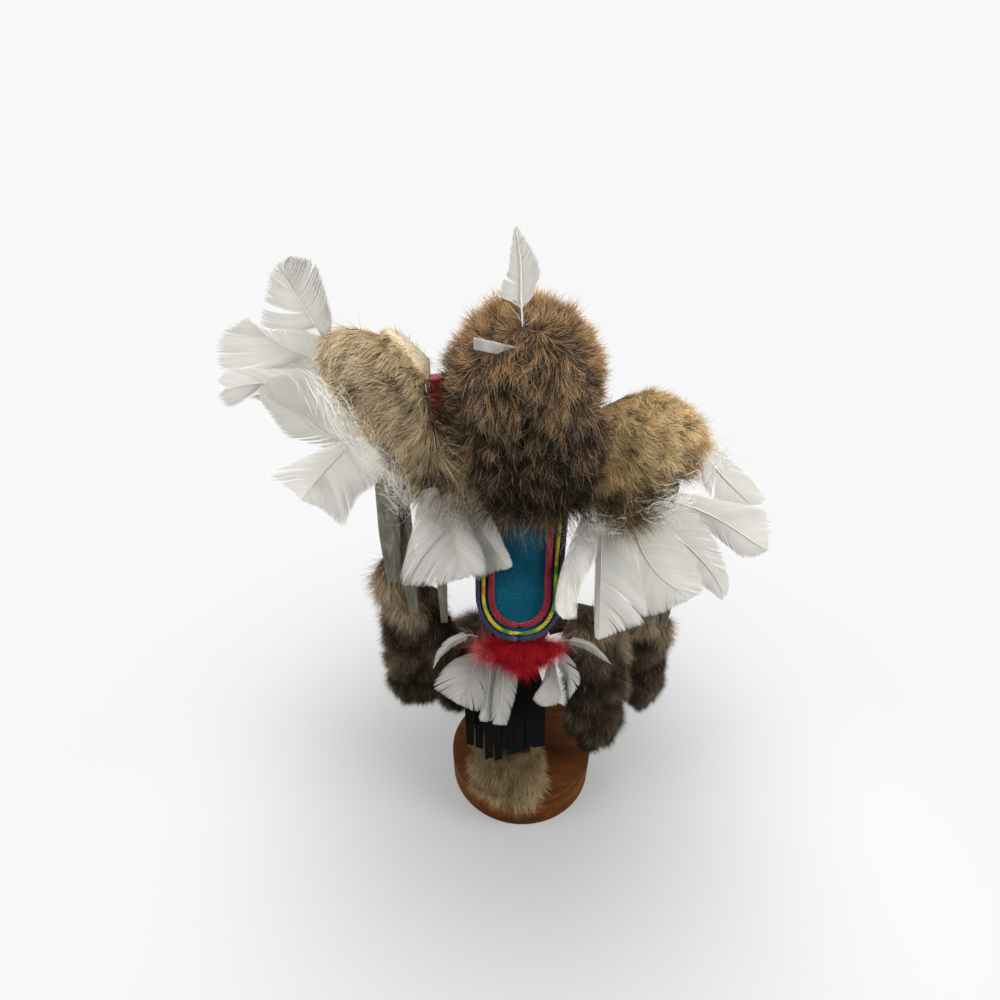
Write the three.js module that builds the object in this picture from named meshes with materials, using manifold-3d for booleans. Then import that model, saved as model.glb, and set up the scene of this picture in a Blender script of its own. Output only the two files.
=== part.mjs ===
// A feathered bird-dancer doll: a carved wooden figure on a round base, dressed in pelts, felt and leather.
// Millimetres, +Z up, the doll faces -Y and its own left side is +X. The origin is the middle of the base's underside.
import * as THREE from "three";
import { mergeVertices } from "three/addons/utils/BufferGeometryUtils.js";
import Module from "manifold-3d";

const wasm = await Module();
wasm.setup();

// Driving dimensions
const GAP = 0.35; // air left round a piece that another one is cut for
const BASE = { radius: 45, height: 22, edge: 2.4 };
const FIGURE = { lean: [2.5, 4.5], depth: 1, crotch: 116, shoulder: 204, neckTop: 230 };
const HEAD = { centre: [4.5, 0, 252], radius: 23, turn: THREE.MathUtils.degToRad(18) };
const HOOD = { centre: [4.5, 1, 252.5], radius: 33.5, faceEdge: -7 };
const EAR = { size: [19.4, 8, 20], reach: 27.6, back: -9, drop: -5 };
const FELT = 1.2; // thickness of the felt
const SUEDE = 1.2; // thickness of the fringe
const THONG = { width: 7, thickness: 1.4 };
const QUILL = 0.6; // half the thickness of a bare quill
const VANE = 0.45; // half the thickness of a feather's blade at its shaft

// Materials
const finish = (color, roughness) => new THREE.MeshStandardMaterial({ color, roughness, metalness: 0 });
const LACQUERED_WOOD = finish(0x9a5a24, 0.4);
const PAINTED_WOOD = finish(0x8a5b3c, 0.7);
const MASK_PAINT = finish(0xe6dcc4, 0.6);
const BEAK_PAINT = finish(0xc99a35, 0.5);
const EYE_PAINT = finish(0x111111, 0.25);
const EAR_PAINT = finish(0xa01826, 0.8);
const HOOD_FUR = finish(0x7a5a3a, 1);
const WING_FUR = finish(0x9b8560, 1);
const DARK_FUR = finish(0x5f4f3b, 1);
const PALE_FUR = finish(0xa89370, 1);
const WHITE_FEATHER = finish(0xe9e7e0, 0.8);
const RED_DOWN = finish(0xb8101c, 1);
const TEAL_FELT = finish(0x0e5a6b, 0.95);
const RED_RIBBON = finish(0x8c1526, 0.9);
const YELLOW_YARN = finish(0xa89a22, 0.9);
const EDGE_YARN = finish(0x1c2f50, 0.9);
const BLACK_SUEDE = finish(0x0b0b0c, 0.95);
const RED_SUEDE = finish(0x5c0f14, 0.95);
const OLIVE_LEATHER = finish(0x5b5748, 0.85);

const vector = (at) => new THREE.Vector3(...at);

// Turns a closed three.js geometry into a solid that can be joined and cut.
function solid(geometry) {
  const bare = geometry.index ? geometry.toNonIndexed() : geometry.clone();
  bare.deleteAttribute("normal");
  bare.deleteAttribute("uv");
  const merged = mergeVertices(bare, 1e-4);
  return new wasm.Manifold(
    new wasm.Mesh({
      numProp: 3,
      vertProperties: merged.attributes.position.array,
      triVerts: new Uint32Array(merged.index.array),
    }),
  );
}

// Turns a solid back into a geometry with flat faces.
function geometryOf(body) {
  const mesh = body.getMesh();
  const made = new THREE.BufferGeometry();
  made.setAttribute("position", new THREE.BufferAttribute(mesh.vertProperties, 3));
  made.setIndex(new THREE.BufferAttribute(mesh.triVerts, 1));
  const flat = made.toNonIndexed();
  flat.computeVertexNormals();
  return flat;
}

// A closed skin over a row of rings with equal point counts, with a fan over each end.
function skin(rings) {
  const sides = rings[0].length;
  const points = rings.flat();
  const faces = [];
  const middle = (ring) => ring.reduce((sum, p) => sum.add(p), new THREE.Vector3()).divideScalar(sides);
  const first = points.push(middle(rings[0])) - 1;
  const last = points.push(middle(rings.at(-1))) - 1;
  const lastRing = (rings.length - 1) * sides;
  for (let side = 0; side < sides; side++) {
    const next = (side + 1) % sides;
    for (let row = 0; row + 1 < rings.length; row++) {
      const [a, b] = [row * sides + side, row * sides + next];
      faces.push(a, b, b + sides, a, b + sides, a + sides);
    }
    faces.push(first, next, side, last, lastRing + side, lastRing + next);
  }
  const made = new THREE.BufferGeometry().setFromPoints(points);
  made.setIndex(faces);
  return made;
}

// The value of a list of numbers at a share of its length, eased between its entries.
function along(list, share) {
  const place = Math.min(share * (list.length - 1), list.length - 1 - 1e-9);
  const low = Math.floor(place);
  return THREE.MathUtils.lerp(list[low], list[low + 1], THREE.MathUtils.smoothstep(place - low, 0, 1));
}

// A soft roll along a path: its half sizes across and through the path follow lists spread evenly along it.
// A swell of a few percent keeps its outline from being a plain tube.
function roll({ path, across, through, sides = 11, steps = 9, swell = 0 }, grow = 0) {
  const curve = new THREE.CatmullRomCurve3(path.map(vector));
  const rings = [];
  for (let step = 0; step <= steps; step++) {
    const share = step / steps;
    const middle = curve.getPoint(share);
    const ahead = curve.getTangent(share);
    const depthAxis = new THREE.Vector3(0, 1, 0).addScaledVector(ahead, -ahead.y).normalize();
    const sideAxis = depthAxis.clone().cross(ahead);
    const ring = [];
    for (let side = 0; side < sides; side++) {
      const angle = (side / sides) * 2 * Math.PI;
      const lump = 1 + swell * Math.sin(3 * angle + 5 * share);
      ring.push(
        middle
          .clone()
          .addScaledVector(sideAxis, (along(across, share) + grow) * lump * Math.cos(angle))
          .addScaledVector(depthAxis, (along(through, share) + grow) * lump * Math.sin(angle)),
      );
    }
    rings.push(ring);
  }
  return solid(skin(rings));
}

// A carved limb with a round section.
function limb(path, radii, grow = 0) {
  return roll({ path, across: radii, through: radii, sides: 8, steps: 8 }, grow);
}

// A feather: a bare quill that opens into a flat blade, bowed sideways and curling back towards its tip.
function feather({ root, tip, width, bow = 0 }, grow = 0) {
  const [from, to] = [vector(root), vector(tip)];
  const sideways = to.clone().sub(from).cross(new THREE.Vector3(0, 1, 0)).normalize();
  const path = [];
  for (let share = 0; share <= 1.001; share += 0.25) {
    const point = from.clone().lerp(to, share);
    point.y = THREE.MathUtils.lerp(from.y, to.y, share * share);
    path.push(point.addScaledVector(sideways, bow * 4 * share * (1 - share)).toArray());
  }
  const half = width / 2;
  const across = [QUILL, QUILL, half * 0.5, half * 0.85, half, half, half * 0.78];
  return roll({ path, across, through: [QUILL, QUILL, VANE, VANE, VANE, VANE], sides: 4, steps: 8 }, grow);
}

// A sheet of felt, suede or leather, hung with v running down it: point(u, v) gives its middle surface,
// and its thickness lies along Y.
function sheet(point, columns, rows, thickness, grow = 0) {
  const half = thickness / 2 + grow;
  const rings = [];
  for (let row = 0; row <= rows; row++) {
    const back = [];
    const front = [];
    for (let column = 0; column <= columns; column++) {
      const at = point(column / columns, row / rows);
      back.push(vector([at[0], at[1] + half, at[2]]));
      front.unshift(vector([at[0], at[1] - half, at[2]]));
    }
    rings.push([...back, ...front]);
  }
  return solid(skin(rings));
}

// A block on the X, Y and Z axes.
function block(low, high) {
  const size = vector(high).sub(vector(low));
  const middle = vector(low).add(vector(high)).divideScalar(2);
  return solid(new THREE.BoxGeometry(...size.toArray()).translate(...middle.toArray()));
}

function cutBy(body, ...cutters) {
  return cutters.reduce((left, cutter) => left.subtract(cutter), body);
}

const doll = new THREE.Group();

function add(parent, name, body, material) {
  const mesh = new THREE.Mesh(body.isBufferGeometry ? body : geometryOf(body), material);
  mesh.name = name;
  parent.add(mesh);
  return mesh;
}

// Turned base with a softened upper edge
function baseDisc() {
  const { radius, height, edge } = BASE;
  const profile = [new THREE.Vector2(0, 0), new THREE.Vector2(radius - 1, 0), new THREE.Vector2(radius, 1)];
  for (let step = 0; step <= 3; step++) {
    const angle = (step / 3) * (Math.PI / 2);
    profile.push(new THREE.Vector2(radius - edge + edge * Math.cos(angle), height - edge + edge * Math.sin(angle)));
  }
  profile.push(new THREE.Vector2(0, height));
  return new THREE.LatheGeometry(profile, 36).rotateX(Math.PI / 2);
}
add(doll, "base_disc", solid(baseDisc()), LACQUERED_WOOD);

// Torso with its neck: half widths and half depths at heights from crotch to neck
const TORSO_LEVELS = [
  [FIGURE.crotch, 13, 10],
  [122, 16, 12],
  [134, 16.5, 12],
  [150, 14.5, 11],
  [170, 17, 12],
  [190, 20, 12.5],
  [FIGURE.shoulder, 20.5, 12],
  [213, 15, 11],
  [219, 9.5, 9.5],
  [FIGURE.neckTop, 9, 9],
];
function torsoShape(grow) {
  const sides = 14;
  const rings = TORSO_LEVELS.map(([level, width, depth]) => {
    const rise = (level - FIGURE.crotch) / (FIGURE.neckTop - FIGURE.crotch);
    const x = THREE.MathUtils.lerp(...FIGURE.lean, rise);
    return Array.from({ length: sides }, (_, side) => {
      const angle = (side / sides) * 2 * Math.PI;
      return vector([
        x + (width + grow) * Math.cos(angle),
        FIGURE.depth + (depth + grow) * Math.sin(angle),
        level,
      ]);
    });
  });
  return solid(skin(rings));
}
const torsoClear = torsoShape(GAP);
add(doll, "torso", torsoShape(0), PAINTED_WOOD);

// Legs: the left one stands on the base, the right one is lifted out to the side
const LEFT_LEG = [[[11, 1, 126], [27, -4, 112], [37, -8, 94], [25, 2, 64], [12, 14, 36], [11, 15, BASE.height + 0.5]],
  [8.5, 8, 7, 6, 6.5, 7.5]];
const RIGHT_LEG = [[[-5, 1, 126], [-24, -3, 128], [-42, -3, 124], [-49, 6, 104], [-50, 12, 76], [-51, 15, 54]],
  [8.5, 8, 7.5, 6.5, 6, 6]];
const legSolid = ([path, radii]) => cutBy(limb(path, radii), torsoClear);
// The floor of the standing leg is cut level with the base's top
const footing = block([-60, -60, 0], [60, 60, BASE.height + 0.3]);
const leftLeg = legSolid(LEFT_LEG).subtract(footing);
add(doll, "left_leg", leftLeg, PAINTED_WOOD);
add(doll, "right_leg", legSolid(RIGHT_LEG), PAINTED_WOOD);
const leftLegClear = limb(...LEFT_LEG, GAP);
const rightLegClear = limb(...RIGHT_LEG, GAP);

// Pelts on the legs
const BOOT = {
  path: [[9, 21, BASE.height - 4], [9, 20.5, 34], [11, 19, 48], [14, 15, 62], [17, 11, 72]],
  across: [26, 26, 24, 19, 8],
  through: [25.5, 24.5, 19, 13.5, 6],
  swell: 0.03,
};
const bootClear = roll(BOOT, GAP);
add(doll, "left_boot", cutBy(roll(BOOT), footing, leftLegClear), PALE_FUR);

const KNEE_FUR = {
  path: [[21, -4, 120], [33, -7, 108], [41, -9, 88], [44, -9, 66], [41, -8, 46]],
  across: [7, 16, 18, 17, 6],
  through: [7, 11, 12, 11, 5],
  swell: 0.04,
};
const kneeFurClear = roll(KNEE_FUR, GAP);
add(doll, "left_legging", cutBy(roll(KNEE_FUR), leftLegClear, bootClear, torsoClear), DARK_FUR);

const LEGGING = {
  path: [[-38, 2, 128], [-41, 7, 112], [-45, 12, 86], [-49, 14, 60], [-51.5, 16, 38]],
  across: [8, 18, 20.5, 20, 10],
  through: [7, 13, 15, 14, 5],
  swell: 0.04,
};
const leggingClear = roll(LEGGING, GAP);
add(doll, "right_legging", cutBy(roll(LEGGING), rightLegClear), DARK_FUR);

// Arms: the left one is raised, the right one nearly level
const LEFT_ARM = [[[17, -2, 203], [46, -5, 229], [69, -5, 254], [79, -5, 266]], [7.5, 6.2, 5, 3.6]];
const RIGHT_ARM = [[[-9, -2, 203], [-40, -5, 213], [-64, -5, 219], [-76, -5, 222]], [7.5, 6.2, 5, 3.6]];
add(doll, "left_arm", cutBy(limb(...LEFT_ARM), torsoClear), PAINTED_WOOD);
add(doll, "right_arm", cutBy(limb(...RIGHT_ARM), torsoClear), PAINTED_WOOD);

// Panels of felt, front and back: a strip with a round lower end that leaves the body towards its foot
const BACK_PANEL = { middle: 2.5, half: 21, top: 204, foot: 139.5, round: 19, side: 1,
  stand: [30, 26.5, 22, 18, 15.6, 14.8, 14.6, 14.6, 14.6] };
const FRONT_PANEL = { middle: 3, half: 18, top: 202, foot: 108, round: 16, side: -1,
  stand: [17.4, 16.4, 15.4, 15, 14.8, 14.4, 13.4, 13, 12.8] };

// A panel's surface at a place across it and a height
function panelDepth(panel, x, z) {
  const rise = (z - panel.foot) / (panel.top - panel.foot);
  const stand = along(panel.stand, THREE.MathUtils.clamp(rise, 0, 1));
  return panel.side * (stand - 0.0045 * (x - panel.middle) ** 2);
}

// Half the width of a panel's outline, drawn in by inset, at a height
function panelHalf(panel, inset, z) {
  const radius = panel.round - inset;
  const below = Math.max(0, panel.foot + panel.round - z);
  return panel.half - panel.round + Math.sqrt(Math.max(0.05, radius ** 2 - below ** 2));
}

function panelSolid(panel, grow = 0) {
  const low = panel.foot + 0.4;
  return sheet(
    (u, v) => {
      const z = THREE.MathUtils.lerp(panel.top + grow, low - grow, 1 - (1 - v) ** 1.6);
      const half = panelHalf(panel, -grow, z);
      const x = panel.middle + (2 * u - 1) * half;
      return [x, panelDepth(panel, x, z), z];
    },
    4,
    11,
    FELT,
    grow,
  );
}

// Yarn or ribbon sewn round a panel: down one side, round the foot and up the other
function panelTrim(panel, inset, halfWidth, halfHeight) {
  const turns = 6;
  const outline = [];
  const sideHalf = panel.half - inset;
  const bend = panel.foot + panel.round;
  for (let step = 0; step < 3; step++) {
    outline.push([sideHalf, THREE.MathUtils.lerp(panel.top - 1, bend, step / 3)]);
  }
  for (let step = 0; step <= turns; step++) {
    const angle = (step / turns) * Math.PI;
    const radius = panel.round - inset;
    const shift = (panel.half - panel.round) * Math.sign(Math.round(Math.cos(angle) * 1e6));
    outline.push([shift + radius * Math.cos(angle), bend - radius * Math.sin(angle)]);
  }
  for (let step = 2; step >= 0; step--) {
    outline.push([-sideHalf, THREE.MathUtils.lerp(panel.top - 1, bend, step / 3)]);
  }
  const lift = panel.side * (FELT / 2 + halfHeight + 0.45);
  const path = outline.map(([x, z]) => [
    panel.middle + x,
    panelDepth(panel, panel.middle + x, z) + lift,
    z,
  ]);
  return roll({
    path,
    across: [halfWidth, halfWidth],
    through: [halfHeight, halfHeight],
    sides: 4,
    steps: 16,
  });
}

function dressPanel(name, panel) {
  add(doll, name, panelSolid(panel), TEAL_FELT);
  add(doll, `${name}_red_ribbon`, panelTrim(panel, 7.6, 1.6, 0.7), RED_RIBBON);
  add(doll, `${name}_yellow_yarn`, panelTrim(panel, 3.9, 0.95, 0.9), YELLOW_YARN);
  add(doll, `${name}_edge_yarn`, panelTrim(panel, 1.2, 0.9, 0.8), EDGE_YARN);
}
dressPanel("back_panel", BACK_PANEL);
dressPanel("front_panel", FRONT_PANEL);
const backPanelClear = panelSolid(BACK_PANEL, GAP);

// Sash round the hips, which carries the fringe and the tail
const SASH = { low: 127, high: 137, thickness: 1.9 };
function sashSolid() {
  const band = block([-60, -60, SASH.low], [60, 60, SASH.high]);
  return cutBy(torsoShape(SASH.thickness).intersect(band), torsoClear, leftLegClear, rightLegClear);
}
add(doll, "hip_sash", sashSolid(), RED_SUEDE);

// Suede fringe down the back, cut into strips of uneven length, with one red strip among the black ones
const FRINGE = { right: -11, left: 33, top: 126, cut: 94, ends: [72, 62, 67, 61, 57, 59, 63, 68], redStrip: 1 };
const FRINGE_FALL = [38.5, 34.5, 29.5, 24.5, 20, 17, 15.2, 15];
const FRINGE_LOW = 56;
function fringeDepth(x, z) {
  const rise = (z - FRINGE_LOW) / (FRINGE.top - FRINGE_LOW);
  return along(FRINGE_FALL, THREE.MathUtils.clamp(rise, 0, 1)) + 0.6 - 0.003 * (x - 8) ** 2;
}
function fringeStrip(from, to, top, end) {
  const point = (u, v) => {
    const x = THREE.MathUtils.lerp(from, to, u);
    const z = THREE.MathUtils.lerp(top, end, v);
    const narrow = THREE.MathUtils.smoothstep(top, FRINGE.cut, FRINGE.top);
    const middle = (FRINGE.left + FRINGE.right) / 2;
    const drawn = THREE.MathUtils.lerp(x, middle + (x - middle) * 0.62, narrow * (1 - v));
    return [drawn, fringeDepth(drawn, z), z];
  };
  return sheet(point, 1, 4, SUEDE);
}
function fringeSolids() {
  const pitch = (FRINGE.left - FRINGE.right) / FRINGE.ends.length;
  const kerf = 0.5;
  const apron = sheet(
    (u, v) => {
      const z = THREE.MathUtils.lerp(FRINGE.top, FRINGE.cut - 4, v);
      const spread = THREE.MathUtils.lerp(0.62, 1, v);
      const middle = (FRINGE.left + FRINGE.right) / 2;
      const x = middle + (u - 0.5) * (FRINGE.left - FRINGE.right) * spread;
      return [x, fringeDepth(x, z), z];
    },
    4,
    4,
    SUEDE,
  );
  const strips = FRINGE.ends.map((end, index) => {
    const from = FRINGE.right + index * pitch + kerf;
    return fringeStrip(from, from + pitch - 2 * kerf, FRINGE.cut, end);
  });
  const [red] = strips.splice(FRINGE.redStrip, 1);
  const black = strips.reduce((sum, strip) => sum.add(strip), apron);
  return { black, red: red.subtract(block([-60, -60, FRINGE.cut - 4.4], [60, 60, FRINGE.top])) };
}
const fringe = fringeSolids();
add(doll, "fringe_black", fringe.black, BLACK_SUEDE);
add(doll, "fringe_red_strip", fringe.red, RED_SUEDE);

// Tail: feathers set in a tuft of red down under the foot of the back panel
const TAIL = [
  { root: [20, 20.5, 131], tip: [38, 36, 99], width: 24, bow: -2 },
  { root: [10, 22, 129], tip: [22, 36.5, 86], width: 8, bow: -1 },
  { root: [5, 23.5, 129], tip: [13, 38, 86], width: 12, bow: -1 },
  { root: [-9, 20.5, 131], tip: [-12.5, 36, 92], width: 16, bow: 1 },
  { root: [-13, 22, 131], tip: [-27, 35, 106], width: 7, bow: -2 },
  { root: [15, 23.5, 132], tip: [47, 31, 126], width: 5, bow: 4 },
  { root: [-11, 23.5, 132], tip: [-40, 31, 126], width: 5, bow: -4 },
];
const TUFT = {
  path: [[24, 23, 129], [13, 25.5, 127], [2, 26.5, 126], [-9, 25.5, 127], [-20, 23, 130]],
  across: [5, 12, 14, 12, 5],
  through: [4, 7.5, 8.5, 7.5, 4],
  sides: 9,
  swell: 0.06,
};
add(doll, "tail_tuft", cutBy(roll(TUFT), backPanelClear, ...TAIL.map((f) => feather(f, GAP))), RED_DOWN);
TAIL.forEach((f, index) => add(doll, `tail_feather_${index + 1}`, feather(f), WHITE_FEATHER));

// Head: a ball that sits flat on the neck, with painted ears, a beak and two eyes, turned to its left
const head = new THREE.Group();
head.position.set(...HEAD.centre);
head.rotation.z = HEAD.turn;
head.updateMatrix();
doll.add(head);

const ball = (radius) => solid(new THREE.SphereGeometry(radius, 16, 10).rotateX(Math.PI / 2));
const ballClear = ball(HEAD.radius + GAP);
const belowNeck = FIGURE.neckTop + 0.3 - HEAD.centre[2];
add(head, "head", ball(HEAD.radius).subtract(block([-60, -60, -60], [60, 60, belowNeck])), MASK_PAINT);

function earGeometry(side, grow) {
  const [reach, thick, tall] = EAR.size.map((size) => size + 2 * grow);
  return new THREE.BoxGeometry(reach, thick, tall).translate(side * EAR.reach, EAR.back, EAR.drop);
}
const EARS = { left_ear: 1, right_ear: -1 };
const earsClear = Object.values(EARS).map((side) => solid(earGeometry(side, GAP).applyMatrix4(head.matrix)));
for (const [name, side] of Object.entries(EARS)) {
  add(head, name, solid(earGeometry(side, 0)).subtract(ballClear), EAR_PAINT);
}
const beakPath = [[0, -17, -2], [0, -26, -2.5], [0, -33, -5.5], [0, -36, -10]];
const beak = roll({ path: beakPath, across: [6.5, 6, 3.8, 1], through: [6, 6, 4, 1.2], sides: 8, steps: 6 });
add(head, "beak", beak.subtract(ballClear), BEAK_PAINT);
for (const [name, side] of [["left_eye", 1], ["right_eye", -1]]) {
  const eye = new THREE.SphereGeometry(3.4, 8, 6).translate(side * 9.2, -20.2, 6.5);
  add(head, name, solid(eye).subtract(ballClear), EYE_PAINT);
}

// Hood: a pelt over the back of the head with a flap down the nape, open at the face
const CROWN_FEATHER = { root: [5.5, 18, 267], tip: [9.5, 23, 313], width: 13, bow: 0.6 };
const CROWN_QUILL = { from: [7.5, 24, 271], to: [23, 23, 274], half: 2, thickness: 0.9 };
const NAPE = {
  path: [[4, 10, 247], [2, 18, 237], [-1, 23.5, 225], [-2, 25.5, 209]],
  across: [28, 32, 29, 19],
  through: [16, 13, 9.5, 4],
  swell: 0.03,
};
function hoodShape(grow) {
  const dome = new THREE.SphereGeometry(HOOD.radius + grow, 18, 10).rotateX(Math.PI / 2).translate(...HOOD.centre);
  return solid(dome).add(roll(NAPE, grow));
}
function crownQuill(grow = 0) {
  const [from, to] = [vector(CROWN_QUILL.from), vector(CROWN_QUILL.to)];
  const point = (u, v) => {
    const at = from.clone().lerp(to, v);
    return [at.x, at.y, at.z + (2 * u - 1) * (CROWN_QUILL.half + grow)];
  };
  return sheet(point, 1, 3, CROWN_QUILL.thickness, grow);
}
function hoodSolid() {
  const faceCut = new THREE.BoxGeometry(120, 60, 120).translate(0, HOOD.faceEdge - 30, 0).applyMatrix4(head.matrix);
  const ballCut = new THREE.SphereGeometry(HEAD.radius + GAP, 16, 10).rotateX(Math.PI / 2).applyMatrix4(head.matrix);
  return cutBy(
    hoodShape(0),
    solid(faceCut),
    solid(ballCut),
    ...earsClear,
    torsoClear,
    backPanelClear,
    feather(CROWN_FEATHER, GAP),
    crownQuill(GAP),
  );
}
add(doll, "hood", hoodSolid(), HOOD_FUR);
add(doll, "crown_feather", feather(CROWN_FEATHER), WHITE_FEATHER);
add(doll, "crown_quill", crownQuill(), WHITE_FEATHER);

// Wings: a pelt over the back of each arm, feathers set in its lower edge, and thongs that carry a bundle of fur
const WINGS = {
  left: {
    arm: LEFT_ARM,
    pelt: {
      path: [[23, 8, 206], [33, 8, 219], [45, 8.5, 236], [57, 8.5, 252], [70, 8, 264], [79, 8, 269]],
      across: [6, 15.5, 21, 22.5, 16, 5],
      through: [6, 11, 12.5, 12, 8, 3],
      swell: 0.03,
    },
    feathers: [
      { root: [77, 2, 264], tip: [93, 3, 299], width: 26, bow: -1 },
      { root: [74, 3.4, 256], tip: [121, 5, 275], width: 22, bow: 1 },
      { root: [74, 4.8, 246], tip: [125, 8, 254], width: 26, bow: 1 },
      { root: [73, 6.2, 231], tip: [109, 10, 256], width: 27, bow: 2 },
      { root: [71, 7.8, 233], tip: [97, 14, 201], width: 35, bow: 1 },
      { root: [37, 15.4, 216], tip: [18, 22, 176], width: 24, bow: -1 },
      { root: [40, 17, 214], tip: [37, 30, 172], width: 40, bow: 0 },
    ],
    bundle: {
      path: [[74, 9, 176], [69, 9, 162], [61, 9.5, 140], [60, 9.5, 110], [65, 10, 82], [68, 10, 70]],
      across: [5, 13, 20, 22.5, 18, 6],
      through: [4, 8.5, 10.5, 10.5, 9, 4],
      swell: 0.05,
    },
    thongs: [
      { x: 63.5, top: [4, 222], foot: [18, 167] },
      { x: 56, top: [4, 212], foot: [20.5, 150] },
      { x: 41.5, top: [7, 203], foot: [18.5, 142] },
    ],
  },
  right: {
    arm: RIGHT_ARM,
    pelt: {
      path: [[-21, 8, 214], [-30, 8, 219], [-43, 8.5, 223.5], [-56, 8.5, 226], [-68, 8, 226], [-78, 8, 222]],
      across: [8, 20, 27.5, 28, 21, 7],
      through: [6, 11, 13, 12.5, 9, 3],
      swell: 0.03,
    },
    feathers: [
      { root: [-70, 2, 224], tip: [-107, 3, 201], width: 14, bow: -3 },
      { root: [-68, 3.4, 206], tip: [-117, 7, 183], width: 25, bow: -1 },
      { root: [-52, 4.8, 200], tip: [-101, 10, 154], width: 26, bow: -3 },
      { root: [-46, 6.2, 198], tip: [-70, 13, 143], width: 30, bow: -2 },
      { root: [-34, 7.8, 203], tip: [-46, 19, 134], width: 24, bow: 0 },
      { root: [-29, 13.6, 208], tip: [-17, 32.5, 157], width: 10, bow: 4.5 },
    ],
    bundle: {
      path: [[-69, -12, 138], [-70, -13, 124], [-73, -13, 96], [-76, -13, 70], [-80, -13, 50]],
      across: [7, 14, 17, 16, 6],
      through: [5, 10, 11, 10, 4],
      swell: 0.05,
    },
    thongs: [
      { x: -75.5, top: [0, 198], foot: [-1.4, 122] },
      { x: -68, top: [0, 198], foot: [-1, 120] },
      { x: -60, top: [0, 198], foot: [-1.4, 128] },
    ],
  },
};

// A leather thong: it hangs from the underside of the pelt and lies on the bundle with its square end
function thong({ x, top, foot }, grow = 0) {
  const half = THONG.width / 2 + grow;
  const point = (u, v) => [
    x + (2 * u - 1) * half,
    THREE.MathUtils.lerp(top[0], foot[0], THREE.MathUtils.smoothstep(v, 0, 1)),
    THREE.MathUtils.lerp(top[1], foot[1] - grow, v),
  ];
  return sheet(point, 1, 5, THONG.thickness, grow);
}

const hoodClear = hoodShape(GAP);
for (const [side, wing] of Object.entries(WINGS)) {
  const group = new THREE.Group();
  doll.add(group);
  const feathersClear = wing.feathers.map((f) => feather(f, GAP));
  const thongsClear = wing.thongs.map((t) => thong(t, GAP));
  const pelt = cutBy(
    roll(wing.pelt),
    torsoClear,
    hoodClear,
    ...earsClear,
    backPanelClear,
    limb(...wing.arm, GAP),
    ...feathersClear,
    ...thongsClear,
  );
  add(group, `${side}_wing_pelt`, pelt, WING_FUR);
  wing.feathers.forEach((f, index) => add(group, `${side}_feather_${index + 1}`, feather(f), WHITE_FEATHER));
  wing.thongs.forEach((t, index) => add(group, `${side}_thong_${index + 1}`, thong(t), OLIVE_LEATHER));
  const bundle = cutBy(roll(wing.bundle), kneeFurClear, leggingClear, ...thongsClear, ...feathersClear);
  add(group, `${side}_fur_bundle`, bundle, DARK_FUR);
}

export default doll;
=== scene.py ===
import math
import bmesh
import bpy
import numpy as np
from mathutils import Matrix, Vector, noise
from mathutils.bvhtree import BVHTree


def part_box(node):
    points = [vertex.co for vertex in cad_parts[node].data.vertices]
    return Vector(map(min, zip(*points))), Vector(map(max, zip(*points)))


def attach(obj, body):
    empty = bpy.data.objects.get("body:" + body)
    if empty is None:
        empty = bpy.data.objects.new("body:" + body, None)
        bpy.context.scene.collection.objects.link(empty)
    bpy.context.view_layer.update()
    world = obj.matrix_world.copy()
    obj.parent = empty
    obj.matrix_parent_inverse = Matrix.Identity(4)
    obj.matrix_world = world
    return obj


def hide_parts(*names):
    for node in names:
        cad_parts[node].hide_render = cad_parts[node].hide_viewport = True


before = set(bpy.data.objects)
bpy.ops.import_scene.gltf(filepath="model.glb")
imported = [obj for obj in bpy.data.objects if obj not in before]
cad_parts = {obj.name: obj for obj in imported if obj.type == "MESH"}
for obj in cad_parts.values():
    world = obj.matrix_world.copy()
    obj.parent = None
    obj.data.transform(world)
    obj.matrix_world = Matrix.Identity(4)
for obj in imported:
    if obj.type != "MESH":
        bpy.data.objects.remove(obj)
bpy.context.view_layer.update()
scene = bpy.context.scene
mm = 0.001


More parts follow.
